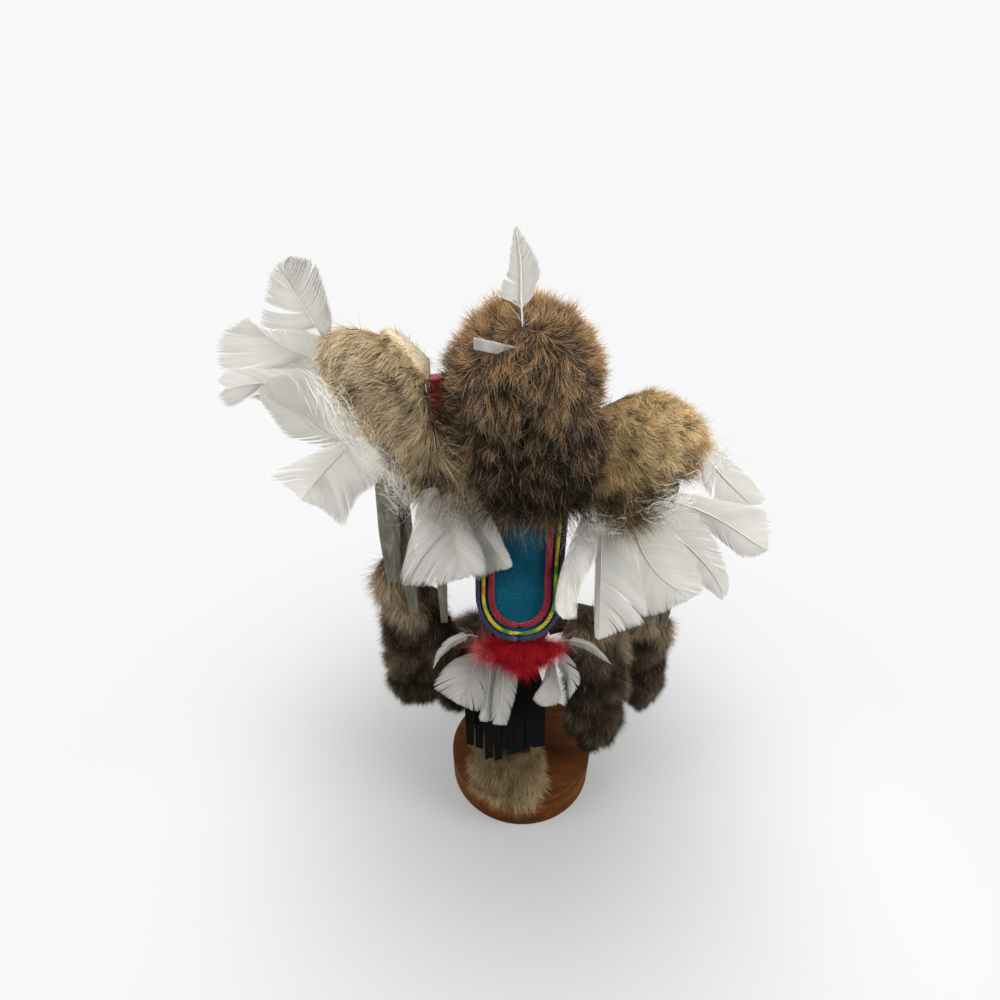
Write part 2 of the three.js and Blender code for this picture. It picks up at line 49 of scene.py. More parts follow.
class Wire:  # one socket of a node tree, so that node maths reads as plain expressions
    def __init__(self, tree, socket=None):
        self.tree, self.socket = tree, socket

    def node(self, kind, to=None, out=0, stops=None, **settings):
        made = self.tree.nodes.new(kind)
        for key, value in settings.items():
            setattr(made, key, value)
        if stops:
            elements = made.color_ramp.elements
            elements.remove(elements[-1])
            elements[0].position, elements[0].color = stops[0][0], (*stops[0][1], 1.0)
            for place, colour in stops[1:]:
                elements.new(place).color = (*colour, 1.0)
        for key, value in (to or {}).items():
            if isinstance(value, Wire):
                self.tree.links.new(value.socket, made.inputs[key])
            else:
                made.inputs[key].default_value = value
        return Wire(self.tree, made.outputs[out])

    def beside(self, name):  # another output of the same node
        return Wire(self.tree, self.socket.node.outputs[name])

    def maths(self, operation, *values):
        return self.node("ShaderNodeMath", dict(enumerate(values)), operation=operation)

    def vector(self, operation, *values, scale=None):
        to = dict(enumerate(values))
        if scale is not None:
            to["Scale"] = scale
        return self.node("ShaderNodeVectorMath", to, operation=operation)

    def scaled(self, scale):
        return self.vector("SCALE", self, scale=scale)

    def plus(self, other):  # vectors
        return self.vector("ADD", self, other)

    def axes(self):
        x = self.node("ShaderNodeSeparateXYZ", {0: self}, out="X")
        return x, x.beside("Y"), x.beside("Z")

    def mix(self, share, first, second):  # colours
        to = {0: share, 6: first, 7: second}
        return self.node("ShaderNodeMix", to, out=2, data_type="RGBA")

    def ramp(self, *stops):
        return self.node("ShaderNodeValToRGB", {0: self}, stops=stops)

    def between(self, low, high):  # 0 below low, 1 above high
        to = {0: self, 1: low, 2: high, 3: 0.0, 4: 1.0}
        return self.node("ShaderNodeMapRange", to, interpolation_type="SMOOTHSTEP")

    def __add__(self, other): return self.maths("ADD", self, other)
    def __radd__(self, other): return self.maths("ADD", other, self)
    def __sub__(self, other): return self.maths("SUBTRACT", self, other)
    def __rsub__(self, other): return self.maths("SUBTRACT", other, self)
    def __mul__(self, other): return self.maths("MULTIPLY", self, other)
    def __rtruediv__(self, other): return self.maths("DIVIDE", other, self)


def flat(colour):
    return (*colour, 1.0)


def makeMaterial(name, paint, fixed):
    material = bpy.data.materials.new(name)
    material.use_nodes = True
    tree = material.node_tree
    shader = tree.nodes["Principled BSDF"]
    for key, value in fixed.items():
        shader.inputs[key].default_value = value
    for key, value in paint(Wire(tree)).items():
        tree.links.new(value.socket, shader.inputs[key])
    return material


def noiseAt(w, place, scale, detail=3.0, rough=0.5, out=0, **settings):
    to = {"Vector": place, "Scale": scale, "Detail": detail, "Roughness": rough}
    return w.node("ShaderNodeTexNoise", to, out=out, **settings)


def wobble(w, place, scale, detail):  # a noise vector about nought
    return w.vector("SUBTRACT", noiseAt(w, place, scale, detail, out="Color"), (0.5, 0.5, 0.5))


def objectPlace(w, stretch=(1, 1, 1), turn=(0, 0, 0)):
    coords = w.node("ShaderNodeTexCoord", out="Object")
    return w.node("ShaderNodeMapping", {"Vector": coords, "Scale": stretch, "Rotation": turn})


def bumped(w, height, strength, distance):
    return w.node("ShaderNodeBump", {"Height": height, "Strength": strength, "Distance": distance})


def newTree(name, inputs):
    tree = bpy.data.node_groups.new(name, "GeometryNodeTree")
    tree.interface.new_socket("Geometry", in_out="INPUT", socket_type="NodeSocketGeometry")
    for label, kind, value in inputs:
        socket = tree.interface.new_socket(label, in_out="INPUT", socket_type="NodeSocket" + kind)
        if value is not None:
            socket.default_value = value
    tree.interface.new_socket("Geometry", in_out="OUTPUT", socket_type="NodeSocketGeometry")
    entry = tree.nodes.new("NodeGroupInput")
    ends = tree.nodes.new("NodeGroupOutput")
    return tree, {s.name: Wire(tree, s) for s in entry.outputs if s.name}, ends


def newObject(name, mesh):
    made = bpy.data.objects.new(name, mesh)
    scene.collection.objects.link(made)
    return made


def meshFrom(name, points, faces, smooth=True):
    mesh = bpy.data.meshes.new(name)
    mesh.from_pydata([tuple(p) for p in points], [], faces)
    mesh.polygons.foreach_set("use_smooth", [smooth] * len(mesh.polygons))
    mesh.update()
    return mesh


def setAttribute(mesh, name, values, kind="FLOAT"):
    made = mesh.attributes.new(name, kind, "POINT")
    field = "vector" if kind == "FLOAT_VECTOR" else "value"
    made.data.foreach_set(field, np.asarray(values, np.float32).ravel())


def drop(thing):
    bpy.data.objects.remove(thing, do_unlink=True)


def evaluated(source):
    graph = bpy.context.evaluated_depsgraph_get()
    return bpy.data.meshes.new_from_object(
        source.evaluated_get(graph), preserve_all_data_layers=True, depsgraph=graph)


def grown(name, mesh, tree, values):  # runs a tree on a mesh and gives the result as a plain object
    source = newObject(name + "Source", mesh)
    modifier = source.modifiers.new("grow", "NODES")
    modifier.node_group = tree
    for item in tree.interface.items_tree:
        if item.item_type == "SOCKET" and item.in_out == "INPUT" and item.name in values:
            modifier[item.identifier] = values[item.name]
    result = evaluated(source)
    source.modifiers.remove(modifier)
    drop(source)
    return newObject(name, result)


def place(piece, node, slot, material=None):  # a finished piece that stands for one CAD node
    if material:
        piece.data.materials.clear()
        piece.data.materials.append(material)
    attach(piece, "root")
    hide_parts(node)
    return piece


def pieceName(words):  # left_feather_1 gives leftFeather1
    first, *rest = words.split("_")
    return first + "".join(part.capitalize() for part in rest)


# Camera and studio
studio = {
    "eye": (13.85, 223.5, 319.7), "pitch": 37.0, "focal": 541.0, "picture": 1000.0, "axisDrop": 86.0, "sensor": 36.0,
    # the floor tones and the glow reaches set a painted shadow on the floor near the figure
    "skyLight": 0.14, "paper": 0.94, "floorHalf": 9.0, "floorShadowTones": (0.34, 0.80), "shadowToneReach": (0.03, 0.28),
    "glowShadowReach": (0.03, 0.36), "shadowedGlowLeast": 0.25, "glowUnseen": 0.2,
}
plain = (1, 1, 1)
lights = [  # place, aim, size, power and colour
    ("keyLight", (-0.02, 0.16, 0.62), (0, 0, 0.15), 0.28, 0.5, (1.0, 0.985, 0.96)),
    ("rightSideLight", (-0.33, 0.12, 0.36), (-0.09, 0, 0.24), 0.25, 1.75, plain),
    ("leftSideLight", (0.33, 0.12, 0.36), (0.09, 0, 0.24), 0.25, 1.3, plain),
    ("topLight", (0.0, -0.10, 0.75), (0, 0, 0.2), 0.5, 1.0, plain),
    ("frontLight", (0.5, -0.9, 0.7), (0, 0, 0.15), 0.8, 3.2, plain),
]
cameraData = bpy.data.cameras.new("camera")
cameraData.sensor_width = studio["sensor"]
cameraData.lens = studio["sensor"] * studio["focal"] / studio["picture"]
cameraData.shift_y = studio["axisDrop"] / studio["picture"]
cameraData.clip_start = 0.01
camera = newObject("camera", cameraData)
camera.location = Vector(studio["eye"]) * mm
camera.rotation_euler = (math.radians(90 - studio["pitch"]), 0, math.pi)
scene.camera = camera
for name, at, aim, size, power, colour in lights:
    data = bpy.data.lights.new(name, "AREA")
    data.shape, data.size, data.energy, data.color = "DISK", size, power, colour
    light = newObject(name, data)
    light.location = at
    light.rotation_euler = (Vector(aim) - Vector(at)).to_track_quat("-Z", "Y").to_euler()
world = bpy.data.worlds.new("sky")
world.use_nodes = True
w = Wire(world.node_tree)
seen = w.node("ShaderNodeLightPath", out="Is Camera Ray")
sky = seen * (studio["paper"] - studio["skyLight"]) + studio["skyLight"]
background = world.node_tree.nodes["Background"]
w.tree.links.new(sky.socket, background.inputs["Strength"])
background.inputs["Color"].default_value = flat(plain)
scene.world = world


# painted shadow: the floor is painted darker near the figure and lighter further off
def paperShadowPaint(w):
    away = w.vector("LENGTH", objectPlace(w)).beside("Value")
    near, far = studio["floorShadowTones"]
    return {"Base Color": away.between(*studio["shadowToneReach"]).ramp((0, (near,) * 3), (1, (far,) * 3))}


half = studio["floorHalf"]
floorMesh = meshFrom("floor", [(-half, -half, 0), (half, -half, 0), (half, half, 0), (-half, half, 0)], [(0, 1, 2, 3)])
floor = newObject("floor", floorMesh)
paper = makeMaterial("paper", paperShadowPaint, {"Roughness": 0.9, "Specular IOR Level": 0.1})
w = Wire(paper.node_tree)
lit = Wire(w.tree, w.tree.nodes["Principled BSDF"].outputs[0])
seen = w.node("ShaderNodeLightPath", out="Is Camera Ray")
strength = (seen * (1 - studio["glowUnseen"]) + studio["glowUnseen"]) * studio["paper"]
glow = w.node("ShaderNodeEmission", {"Color": flat(plain), "Strength": strength})
# painted shadow: the floor glows less near the figure, and evenly further off as the backdrop
away = w.vector("LENGTH", objectPlace(w)).beside("Value")
share = studio["shadowedGlowLeast"] + away.between(*studio["glowShadowReach"]) * (1 - studio["shadowedGlowLeast"])
ends = w.node("ShaderNodeMixShader", {0: share, 1: lit, 2: glow})
w.tree.links.new(ends.socket, w.tree.nodes["Material Output"].inputs["Surface"])
floorMesh.materials.append(paper)
scene.view_settings.view_transform = "Standard"
print("studio set")


# Fur: a sunk skin under combed hairs
strandBend = 0.30  # share of a hair's length


def strandObject(name, points, faces, alongs, sides):
    mesh = meshFrom(name, points, faces)
    setAttribute(mesh, "along", alongs)
    setAttribute(mesh, "side", sides)
    strand = newObject(name, mesh)
    strand.hide_render = True
    return strand


def hairStrand(name, segments):
    points, alongs, sides = [], [], []
    for step in range(segments + 1):
        t = step / segments
        half = 0.5 * (1 - t ** 1.6)
        for x in (-half, half) if step < segments else (0.0,):
            points.append((x, -strandBend * t * t, t))
            alongs.append(t)
            sides.append(np.sign(x))
    tip = 2 * segments
    faces = [(a, a + 1, a + 3, a + 2) if a + 2 < tip else (a, a + 1, tip) for a in range(0, tip, 2)]
    return strandObject(name, points, faces, alongs, sides)


def attribute(w, name, kind="FLOAT"):
    return w.node("GeometryNodeInputNamedAttribute", {"Name": name}, data_type=kind)


def vectorAttribute(w, name):
    return attribute(w, name, "FLOAT_VECTOR")


def randomValue(w, low, high, seed):
    to = {2: low, 3: high, "Seed": seed}
    return w.node("FunctionNodeRandomValue", to, out=1, data_type="FLOAT")


def bakeMap(w, geometry, u, v):  # the map that the fur and feather colours are read from
    uv = w.node("ShaderNodeCombineXYZ", {0: u, 1: v})
    to = {"Geometry": geometry, "Name": "OFBake", "Value": uv}
    return w.node("GeometryNodeStoreNamedAttribute", to, data_type="FLOAT2", domain="CORNER")


def bakedMap(w):
    return w.node("ShaderNodeUVMap", uv_map="OFBake").axes()[:2]


def joined(w, ends, parts, material):  # the last steps of a tree
    both = w.node("GeometryNodeJoinGeometry")
    for part in parts:
        w.tree.links.new(part.socket, both.socket.node.inputs[0])
    done = w.node("GeometryNodeSetMaterial", {"Geometry": both, "Material": material})
    w.tree.links.new(done.socket, ends.inputs[0])


def aligned(w, aim, facing):  # Z along the strand, Y towards the side it faces
    first = w.node("FunctionNodeAlignRotationToVector", {"Vector": aim}, axis="Z")
    to = {"Rotation": first, "Vector": facing}
    return w.node("FunctionNodeAlignRotationToVector", to, axis="Y", pivot_axis="Z")


def combedTree():
    tree, ins, ends = newTree("combedFur", [
        ("Strand", "Object", None), ("Material", "Material", None), ("Density", "Float", 2e6),
        ("Length", "Float", 0.012), ("Width", "Float", 0.0003), ("Lift", "Float", 0.5), ("Tangle", "Float", 0.8),
        ("Stray", "Float", 0.25), ("Sweep", "Float", 0.006), ("Lock", "Float", 0.002), ("Clump", "Float", 0.5),
        ("Patch", "Float", 0.4), ("Lock Tone", "Float", 0.3), ("Speckle", "Float", 0.35), ("Guard", "Float", 0.08),
        ("Wave", "Float", 0.001), ("Seed", "Int", 1)])
    w = Wire(tree)
    skin, seed = ins["Geometry"], ins["Seed"]
    to = {"Mesh": skin, "Density": ins["Density"] * attribute(w, "thick"), "Seed": seed}
    points = w.node("GeometryNodeDistributePointsOnFaces", to, out="Points")
    normal = points.beside("Normal")
    spot = w.node("GeometryNodeInputPosition")
    sweep = wobble(w, spot, 1.0 / ins["Sweep"], 1.5)
    to = {0: (-1, -1, -1), 1: (1, 1, 1), "Seed": seed}
    stray = w.node("FunctionNodeRandomValue", to, data_type="FLOAT_VECTOR")
    aim = normal.scaled(ins["Lift"]).plus(vectorAttribute(w, "comb"))
    aim = aim.plus(sweep.scaled(ins["Tangle"])).plus(stray.scaled(ins["Stray"]))
    length = ins["Length"] * attribute(w, "growth") * randomValue(w, 0.5, 1.15, seed + 3.0)
    size = w.node("ShaderNodeCombineXYZ", {0: ins["Width"], 1: length, 2: length})
    strand = w.node("GeometryNodeObjectInfo", {"Object": ins["Strand"]}, out="Geometry")
    hairs = w.node("GeometryNodeInstanceOnPoints", {
        "Points": points, "Instance": strand, "Rotation": aligned(w, aim, normal), "Scale": size})
    cell = w.node("ShaderNodeTexVoronoi", {"Vector": spot, "Scale": 1.0 / ins["Lock"]}, out="Position")
    clump = w.vector("SUBTRACT", cell, spot).scaled(ins["Clump"])
    patch = noiseAt(w, spot, 0.4 / ins["Sweep"], 2.0)
    lockTone = cell.beside("Color").axes()[0] - 0.5
    tone = attribute(w, "region") + (patch - 0.5) * ins["Patch"] + lockTone * ins["Lock Tone"]
    tone = tone + randomValue(w, -0.5, 0.5, seed + 7.0) * ins["Speckle"]
    tone = tone.maths("MINIMUM", tone.maths("MAXIMUM", tone, 0.02), 0.94)
    chance = randomValue(w, 0.0, 1.0, seed + 9.0)
    guard = chance.maths("LESS_THAN", chance, ins["Guard"])
    tone = tone + (0.97 - tone) * guard
    for name, value, kind in (("tone", tone, "FLOAT"), ("clump", clump, "FLOAT_VECTOR")):
        to = {"Geometry": hairs, "Name": name, "Value": value}
        hairs = w.node("GeometryNodeStoreNamedAttribute", to, data_type=kind, domain="INSTANCE")
    hairs = w.node("GeometryNodeRealizeInstances", {"Geometry": hairs})
    along = attribute(w, "along")
    ripple = wobble(w, spot, 260.0, 1.0).scaled(along * along * ins["Wave"])
    ripple = ripple.plus(vectorAttribute(w, "clump").scaled(along))
    hairs = w.node("GeometryNodeSetPosition", {"Geometry": hairs, "Offset": ripple})
    hairs = bakeMap(w, hairs, along, attribute(w, "tone") + attribute(w, "side") * 0.004)
    x, _, z = spot.axes()
    u = 0.02 + x.maths("SINE", x * 400.0) * 0.015 + attribute(w, "bare") * 0.94
    under = bakeMap(w, skin, u, attribute(w, "region") * 0.8 + z * 0.2)
    joined(w, ends, (hairs, under), ins["Material"])
    return tree


longHair, shortHair = hairStrand("longHair", 2), hairStrand("shortHair", 1)
furTree = combedTree()


def smoothCopy(node, voxel, relaxed):  # an even, rounded copy of a CAD node's skin
    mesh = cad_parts[node].data.copy()
    merge = bmesh.new()
    merge.from_mesh(mesh)
    bmesh.ops.remove_doubles(merge, verts=merge.verts, dist=1e-6)
    merge.to_mesh(mesh)
    merge.free()
    source = newObject(node + "Skin", mesh)
    remesh = source.modifiers.new("remesh", "REMESH")
    remesh.mode, remesh.voxel_size = "VOXEL", voxel * mm
    relax = source.modifiers.new("relax", "SMOOTH")
    relax.factor, relax.iterations = 0.5, relaxed
    skin = evaluated(source)
    drop(source)
    skin.polygons.foreach_set("use_smooth", [True] * len(skin.polygons))
    return skin


def vectorsOf(mesh, field):
    values = np.zeros(len(mesh.vertices) * 3)
    mesh.vertices.foreach_get(field, values)
    return values.reshape(-1, 3)


skinLook = {"voxel": 1.6, "relaxed": 6, "drawn": 0.42, "foldGain": 3.2}


def sunkSkin(node, look):  # drawn in by the depth of the hair that it carries
    skin = smoothCopy(node, skinLook["voxel"], look.get("relaxed", skinLook["relaxed"]))
    points, normals = vectorsOf(skin, "co"), vectorsOf(skin, "normal")
    tree = BVHTree.FromPolygons([tuple(p) for p in points], [tuple(f.vertices) for f in skin.polygons])
    drawn, fold = np.zeros(len(points)), np.zeros(len(points))
    bare = look["bare"](points / mm) if "bare" in look else np.zeros(len(points))
    size, high = look.get("lump", (10.0, 0.0))
    for index, (p, n) in enumerate(zip(points, normals)):
        hit = tree.ray_cast(Vector(p) - Vector(n) * 1e-5, -Vector(n))[3]
        rough = noise.noise(Vector(p) / (size * mm) + Vector((look["seed"], 0, 0)))
        fold[index] = min(abs(rough) * skinLook["foldGain"], 1.0) - 0.5
        if hit:
            drawn[index] = min(look["sink"] * mm, skinLook["drawn"] * hit) * (1 - bare[index]) - high * mm * fold[index]
    up = smooth(points[:, 2], points[:, 2].min(), points[:, 2].max())
    points = points - normals * drawn[:, None] + np.array(look.get("shift", (0, 0, 0))) * mm
    points[:, 2] += up * look.get("rise", 0.0) * mm
    skin.vertices.foreach_set("co", points.astype(np.float32).ravel())
    skin.update()
    return skin, points / mm, vectorsOf(skin, "normal"), bare, fold


def unit(v):
    return v / np.maximum(np.linalg.norm(v, axis=-1, keepdims=True), 1e-9)


def smooth(x, low, high):
    t = np.clip((x - low) / (high - low), 0, 1)
    return t * t * (3 - 2 * t)


def furPiece(name, node, look, material, slot):
    skin, p, n, bare, fold = sunkSkin(node, look)
    comb, region, growth = look["field"](p, n)
    comb = unit(comb - n * np.sum(comb * n, axis=1, keepdims=True)) * look["lay"]
    setAttribute(skin, "comb", comb, "FLOAT_VECTOR")
    # painted shade: the fur is painted darker where the skin dips between its lumps, in the folds
    region = region + look.get("foldShade", 0.0) * fold
    for key, value in (("region", region), ("growth", growth), ("thick", 1 - bare), ("bare", bare)):
        setAttribute(skin, key, value)
    area = sum(f.area for f in skin.polygons)
    values = {"Strand": shortHair if look.get("short") else longHair, "Material": material, "Seed": look["seed"],
              "Density": look["hairs"] / area, "Lock Tone": look["lockTone"]}
    for key in ("length", "width", "sweep", "lock", "wave"):
        values[key.capitalize()] = look[key] * mm
    for key in ("lift", "tangle", "stray", "clump", "patch", "speckle", "guard"):
        values[key.capitalize()] = look[key]
    piece = grown(name, skin, furTree, values)
    print(name, "has", len(piece.data.polygons), "faces")
    return place(piece, node, slot)


def furMaterial(name, *runs):  # runs of colour from root to tip, from the darkest tone to the lightest
    def paint(w):
        along, tone = bakedMap(w)
        dark, middle, light = (along.ramp(*run) for run in runs)
        darker = w.mix(tone.between(0.0, 0.55), dark, middle)
        return {"Base Color": w.mix(tone.between(0.45, 0.98), darker, light)}
    return makeMaterial(name, paint, {"Roughness": 0.6, "Specular IOR Level": 0.1})


hoodFur = furMaterial(
    "hoodFur",
    [(0.0, (0.005, 0.0035, 0.0025)), (0.5, (0.009, 0.0065, 0.004)), (1.0, (0.042, 0.029, 0.017))],
    [(0.0, (0.018, 0.0125, 0.009)), (0.4, (0.044, 0.031, 0.020)), (0.7, (0.16, 0.113, 0.070)), (1.0, (0.60, 0.46, 0.29))],
    [(0.0, (0.07, 0.043, 0.026)), (0.35, (0.24, 0.127, 0.054)), (0.7, (0.49, 0.29, 0.125)), (1.0, (0.86, 0.66, 0.40))])
wingFur = furMaterial(
    "wingFur",
    [(0.0, (0.016, 0.012, 0.008)), (0.4, (0.038, 0.028, 0.018)), (0.7, (0.10, 0.073, 0.045)), (1.0, (0.26, 0.20, 0.125))],
    [(0.0, (0.10, 0.074, 0.049)), (0.4, (0.24, 0.178, 0.108)), (0.7, (0.50, 0.395, 0.255)), (1.0, (0.78, 0.67, 0.50))],
    [(0.0, (0.30, 0.22, 0.13)), (0.4, (0.62, 0.45, 0.235)), (0.7, (0.86, 0.68, 0.42)), (1.0, (0.96, 0.88, 0.70))])
goldenFur = furMaterial(
    "goldenFur",
    [(0.0, (0.020, 0.013, 0.006)), (0.4, (0.045, 0.029, 0.013)), (0.7, (0.12, 0.078, 0.036)), (1.0, (0.30, 0.21, 0.10))],
    [(0.0, (0.12, 0.078, 0.038)), (0.4, (0.28, 0.185, 0.085)), (0.7, (0.56, 0.40, 0.20)), (1.0, (0.80, 0.64, 0.38))],
    [(0.0, (0.34, 0.225, 0.10)), (0.4, (0.68, 0.46, 0.20)), (0.7, (0.90, 0.67, 0.35)), (1.0, (0.97, 0.85, 0.60))])
darkFur = furMaterial(
    "darkFur",
    [(0.0, (0.008, 0.005, 0.003)), (0.5, (0.018, 0.012, 0.007)), (1.0, (0.048, 0.032, 0.019))],
    [(0.0, (0.030, 0.020, 0.012)), (0.5, (0.068, 0.046, 0.027)), (1.0, (0.165, 0.118, 0.070))],
    [(0.0, (0.14, 0.10, 0.065)), (0.5, (0.30, 0.22, 0.135)), (1.0, (0.60, 0.48, 0.32))])
paleFur = furMaterial(
    "paleFur",
    [(0.0, (0.042, 0.028, 0.015)), (0.5, (0.09, 0.062, 0.033)), (1.0, (0.19, 0.14, 0.075))],
    [(0.0, (0.075, 0.049, 0.022)), (0.5, (0.155, 0.103, 0.047)), (1.0, (0.33, 0.24, 0.12))],
    [(0.0, (0.17, 0.122, 0.066)), (0.5, (0.35, 0.25, 0.135)), (1.0, (0.60, 0.48, 0.31))])

combed = {"lift": 0.5, "lay": 1.0, "stray": 0.4, "sweep": 7.0, "clump": 0.85, "patch": 1.25, "lockTone": 0.9,
          "speckle": 0.9, "guard": 0.08, "wave": 4.0}
crown = np.array([2.0, 20.0, 276.0])
quillAt = np.mean(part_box("crown_quill"), axis=0) / mm
hoodTones = ([215, 235, 257, 270, 276], [-0.1, 0.04, 0.38, 0.80, 1.0])  # height, and how light the fur is there


def hoodField(p, n):  # like each field here: the way the hair is combed, its tone and its length
    x, y, z = p.T
    near = np.tanh((y - crown[1]) / 7)
    comb = np.outer((x - 3) / 30, (0.5, 0, 0)) + np.outer(near, (0, 1.0, 0)) + np.outer(np.maximum(near, 0), (0, 0, -0.8))
    region = np.interp(z, *hoodTones) + 0.16 * smooth(-x, 4, 26) * smooth(z, 222, 244)
    region -= 0.38 * np.exp(-((x + 5) ** 2 + (y - 18) ** 2) / 60) * smooth(z, 262, 270)
    side = smooth(x, 18, 30) * smooth(z, 250, 232)
    clear = np.exp(-np.sum((p - quillAt) ** 2, axis=1) / 70)
    whorl = np.exp(-np.linalg.norm(p - crown, axis=1) ** 2 / 80)
    growth = 1.0 - 0.6 * clear - 0.35 * whorl + 2.0 * smooth(z, 224, 208) + 0.8 * side
    return comb + np.outer(side, (0.9, 0.4, 0)), region + 0.3 * side, growth


hoodLook = {**combed, "hairs": 59000, "length": 8.0, "width": 0.19, "lock": 1.9, "tangle": 3.2, "sweep": 5.5,
            "stray": 0.5, "lift": 0.42, "guard": 0.03, "sink": 2.4, "shift": (0, 0, 1.0), "relaxed": 14, "seed": 3,
            "field": hoodField}
furPiece("furHood", "hood", hoodLook, hoodFur, "hood_fur")


def leftRise(p):  # distance across the raised wing, up towards the head
    return (51 - p[:, 0]) * 0.75 + (p[:, 2] - 244) * 0.66


def leftBare(p):
    return 0.85 * smooth(leftRise(p), 17, 18.5) * smooth(p[:, 0], 66, 60)


def leftWingField(p, n):
    x, z = p[:, 0], p[:, 2]
    inner = smooth(x, 48, 28)
    rim = smooth(leftRise(p), 6, 18)
    fill = smooth(x, 48, 36) * smooth(z, 214, 226) * smooth(z, 251, 239)
    low = smooth(z, 232, 214) * (1 - fill)
    comb = np.outer(1 - inner, (0.8, 0.15, -0.45)) + np.outer(inner, (0.15, 0.2, -1.0))
    comb = comb + np.outer(fill, (-1.3, 0.5, 0.2)) + np.outer(low, (0.1, 0.2, -0.8))
    # painted shade: the fur is painted darker towards the bottom, near the body and lower across the wing, under the
    # wing
    region = 0.78 + 0.22 * rim + 0.08 * smooth(x, 58, 74) - 0.15 * inner - 0.06 * fill
    region = region - 0.50 * low - 0.12 * smooth(leftRise(p), 4, -12)
    return comb, region, 1.0 - 0.55 * rim + 1.3 * fill + 1.9 * low


def rightWingField(p, n):
    x, z = p[:, 0], p[:, 2]
    inner = smooth(x, -60, -36) * smooth(z, 226, 208)
    rim = smooth(np.hypot((x + 51) / 29, (z - 224) / 29), 0.6, 0.9) * smooth(z, 214, 236)
    corner = smooth(x, -56, -38) * smooth(z, 224, 206)
    outer = smooth(x, -56, -72) * smooth(z, 228, 212)
    comb = np.outer(1 - inner, (-0.85, 0.15, -0.4)) + np.outer(inner, (-0.25, 0.2, -1.0))
    # painted shade: darker near the body and towards the bottom; painted light: lighter higher up
    region = 0.59 + 0.27 * rim + 0.11 * smooth(z, 215, 240) - 0.7 * inner - 0.72 * smooth(z, 226, 206)
    return comb, region, 1.0 - 0.45 * rim + 1.1 * smooth(z, 212, 200) + 1.2 * corner + 1.2 * outer


wing = {**combed, "hairs": 43000, "width": 0.186, "lock": 2.0, "sink": 4.5}
leftWing = {**wing, "length": 8.6, "tangle": 3.1, "stray": 0.5, "patch": 1.35, "shift": (3.5, 0, 4.0), "seed": 11,
            "field": leftWingField, "bare": leftBare}
rightWing = {**wing, "length": 8.8, "tangle": 3.0, "stray": 0.55, "relaxed": 16, "shift": (6.0, 0, 0), "rise": 4.5,
             "seed": 12, "field": rightWingField}
furPiece("leftWingFur", "left_wing_pelt", leftWing, wingFur, "wing_fur")
furPiece("rightWingFur", "right_wing_pelt", rightWing, goldenFur, "wing_fur")


def plushField(middle):  # lighter at the outer rim, where the surface faces sideways, as painted light, and at the upper tuft; darker in the folds as painted shade
    def field(p, n):
        rim = smooth(np.abs(n[:, 0]), 0.45, 0.95)
        top = smooth(p[:, 2], middle, middle + 40)
        return np.tile((0.0, 0.15, -1.0), (len(p), 1)), 0.17 + 0.25 * rim + 0.68 * top, 1.0 + 0.7 * top
    return field


plush = {**combed, "short": True, "sink": 4.0, "hairs": 30000, "length": 5.6, "width": 0.23, "lift": 1.0, "lay": 0.6,
         "tangle": 1.3, "sweep": 9.0, "lock": 2.0, "clump": 0.25, "patch": 1.6, "lockTone": 0.25, "speckle": 0.25,
         "guard": 0.01, "wave": 2.0, "lump": (19.0, 5.0), "foldShade": 0.42}
bundles = [  # its middle height, how it is set over its solid, and how far its top is drawn up
    ("leftBundleFur", "left_fur_bundle", 130, (-3.5, 0, 2.0), 0.0),
    ("rightBundleFur", "right_fur_bundle", 95, (1.5, 4.0, -4.0), 0.0),
    ("leftLeggingFur", "left_legging", 95, (0, 0, 0), 0.0),
    ("rightLeggingFur", "right_legging", 100, (7.0, 0, 0), 14.0),
]
for seed, (name, node, middle, shift, rise) in enumerate(bundles, 21):
    bundle = {**plush, "shift": shift, "rise": rise, "seed": seed, "field": plushField(middle)}
    furPiece(name, node, bundle, darkFur, "dark_fur")


def bootField(p, n):
    x, y, z = p.T
    away = (p - (10.0, 14.0, 0.0)) * (1, 1, 0)
    low = smooth(z, 46, 26)
    over = np.exp(-((x - 2) / 13) ** 2)
    return unit(away) * 0.35 + (0, 0.15, -1.0), 0.53 + 0.2 * low, 0.7 + 0.8 * low * over * smooth(y, 18, 34)


boot = {**plush, "length": 9.5, "width": 0.19, "lift": 0.5, "lay": 1.1, "tangle": 1.9, "lump": (14.0, 3.0),
        "foldShade": 0.2, "patch": 1.0, "seed": 31, "field": bootField}
furPiece("leftBootFur", "left_boot", boot, paleFur, "pale_fur")
print("fur combed")


# Red down at the head of the tail
def downPaint(w):
    tone = bakedMap(w)[1]
    return {"Base Color": tone.ramp((0.0, (0.72, 0.52, 0.50)), (0.3, (0.62, 0.20, 0.20)), (0.55, (0.55, 0.018, 0.03)),
                                    (1.0, (0.40, 0.006, 0.015)))}


def tuftField(p, n):
    x, z = p[:, 0], p[:, 2]
    low = 0.6 * np.exp(-((x - 3) / 8) ** 2) * smooth(z, 126, 118)
    edge = smooth(np.hypot((x - 3) / 22, (z - 127) / 18), 0.62, 1.05)
    return unit(p - (3.0, 14.0, 146.0)), 0.92 - 0.98 * edge, 0.6 + 0.75 * edge - 0.3 * smooth(x, -6, -18) + low


redDown = makeMaterial("redDown", downPaint, {"Roughness": 0.8, "Specular IOR Level": 0.15})
tuft = {**plush, "sink": 6.0, "hairs": 16000, "length": 13.0, "width": 0.15, "lift": 0.35, "tangle": 1.8,
        "stray": 0.9, "sweep": 6.0, "clump": 0.5, "patch": 0.5, "guard": 0.0, "wave": 6.0, "lump": (8.0, 2.0),
        "shift": (1.5, 0, 3.0), "seed": 41, "field": tuftField}
furPiece("tailTuft", "tail_tuft", tuft, redDown, "red_down")
print("down set")


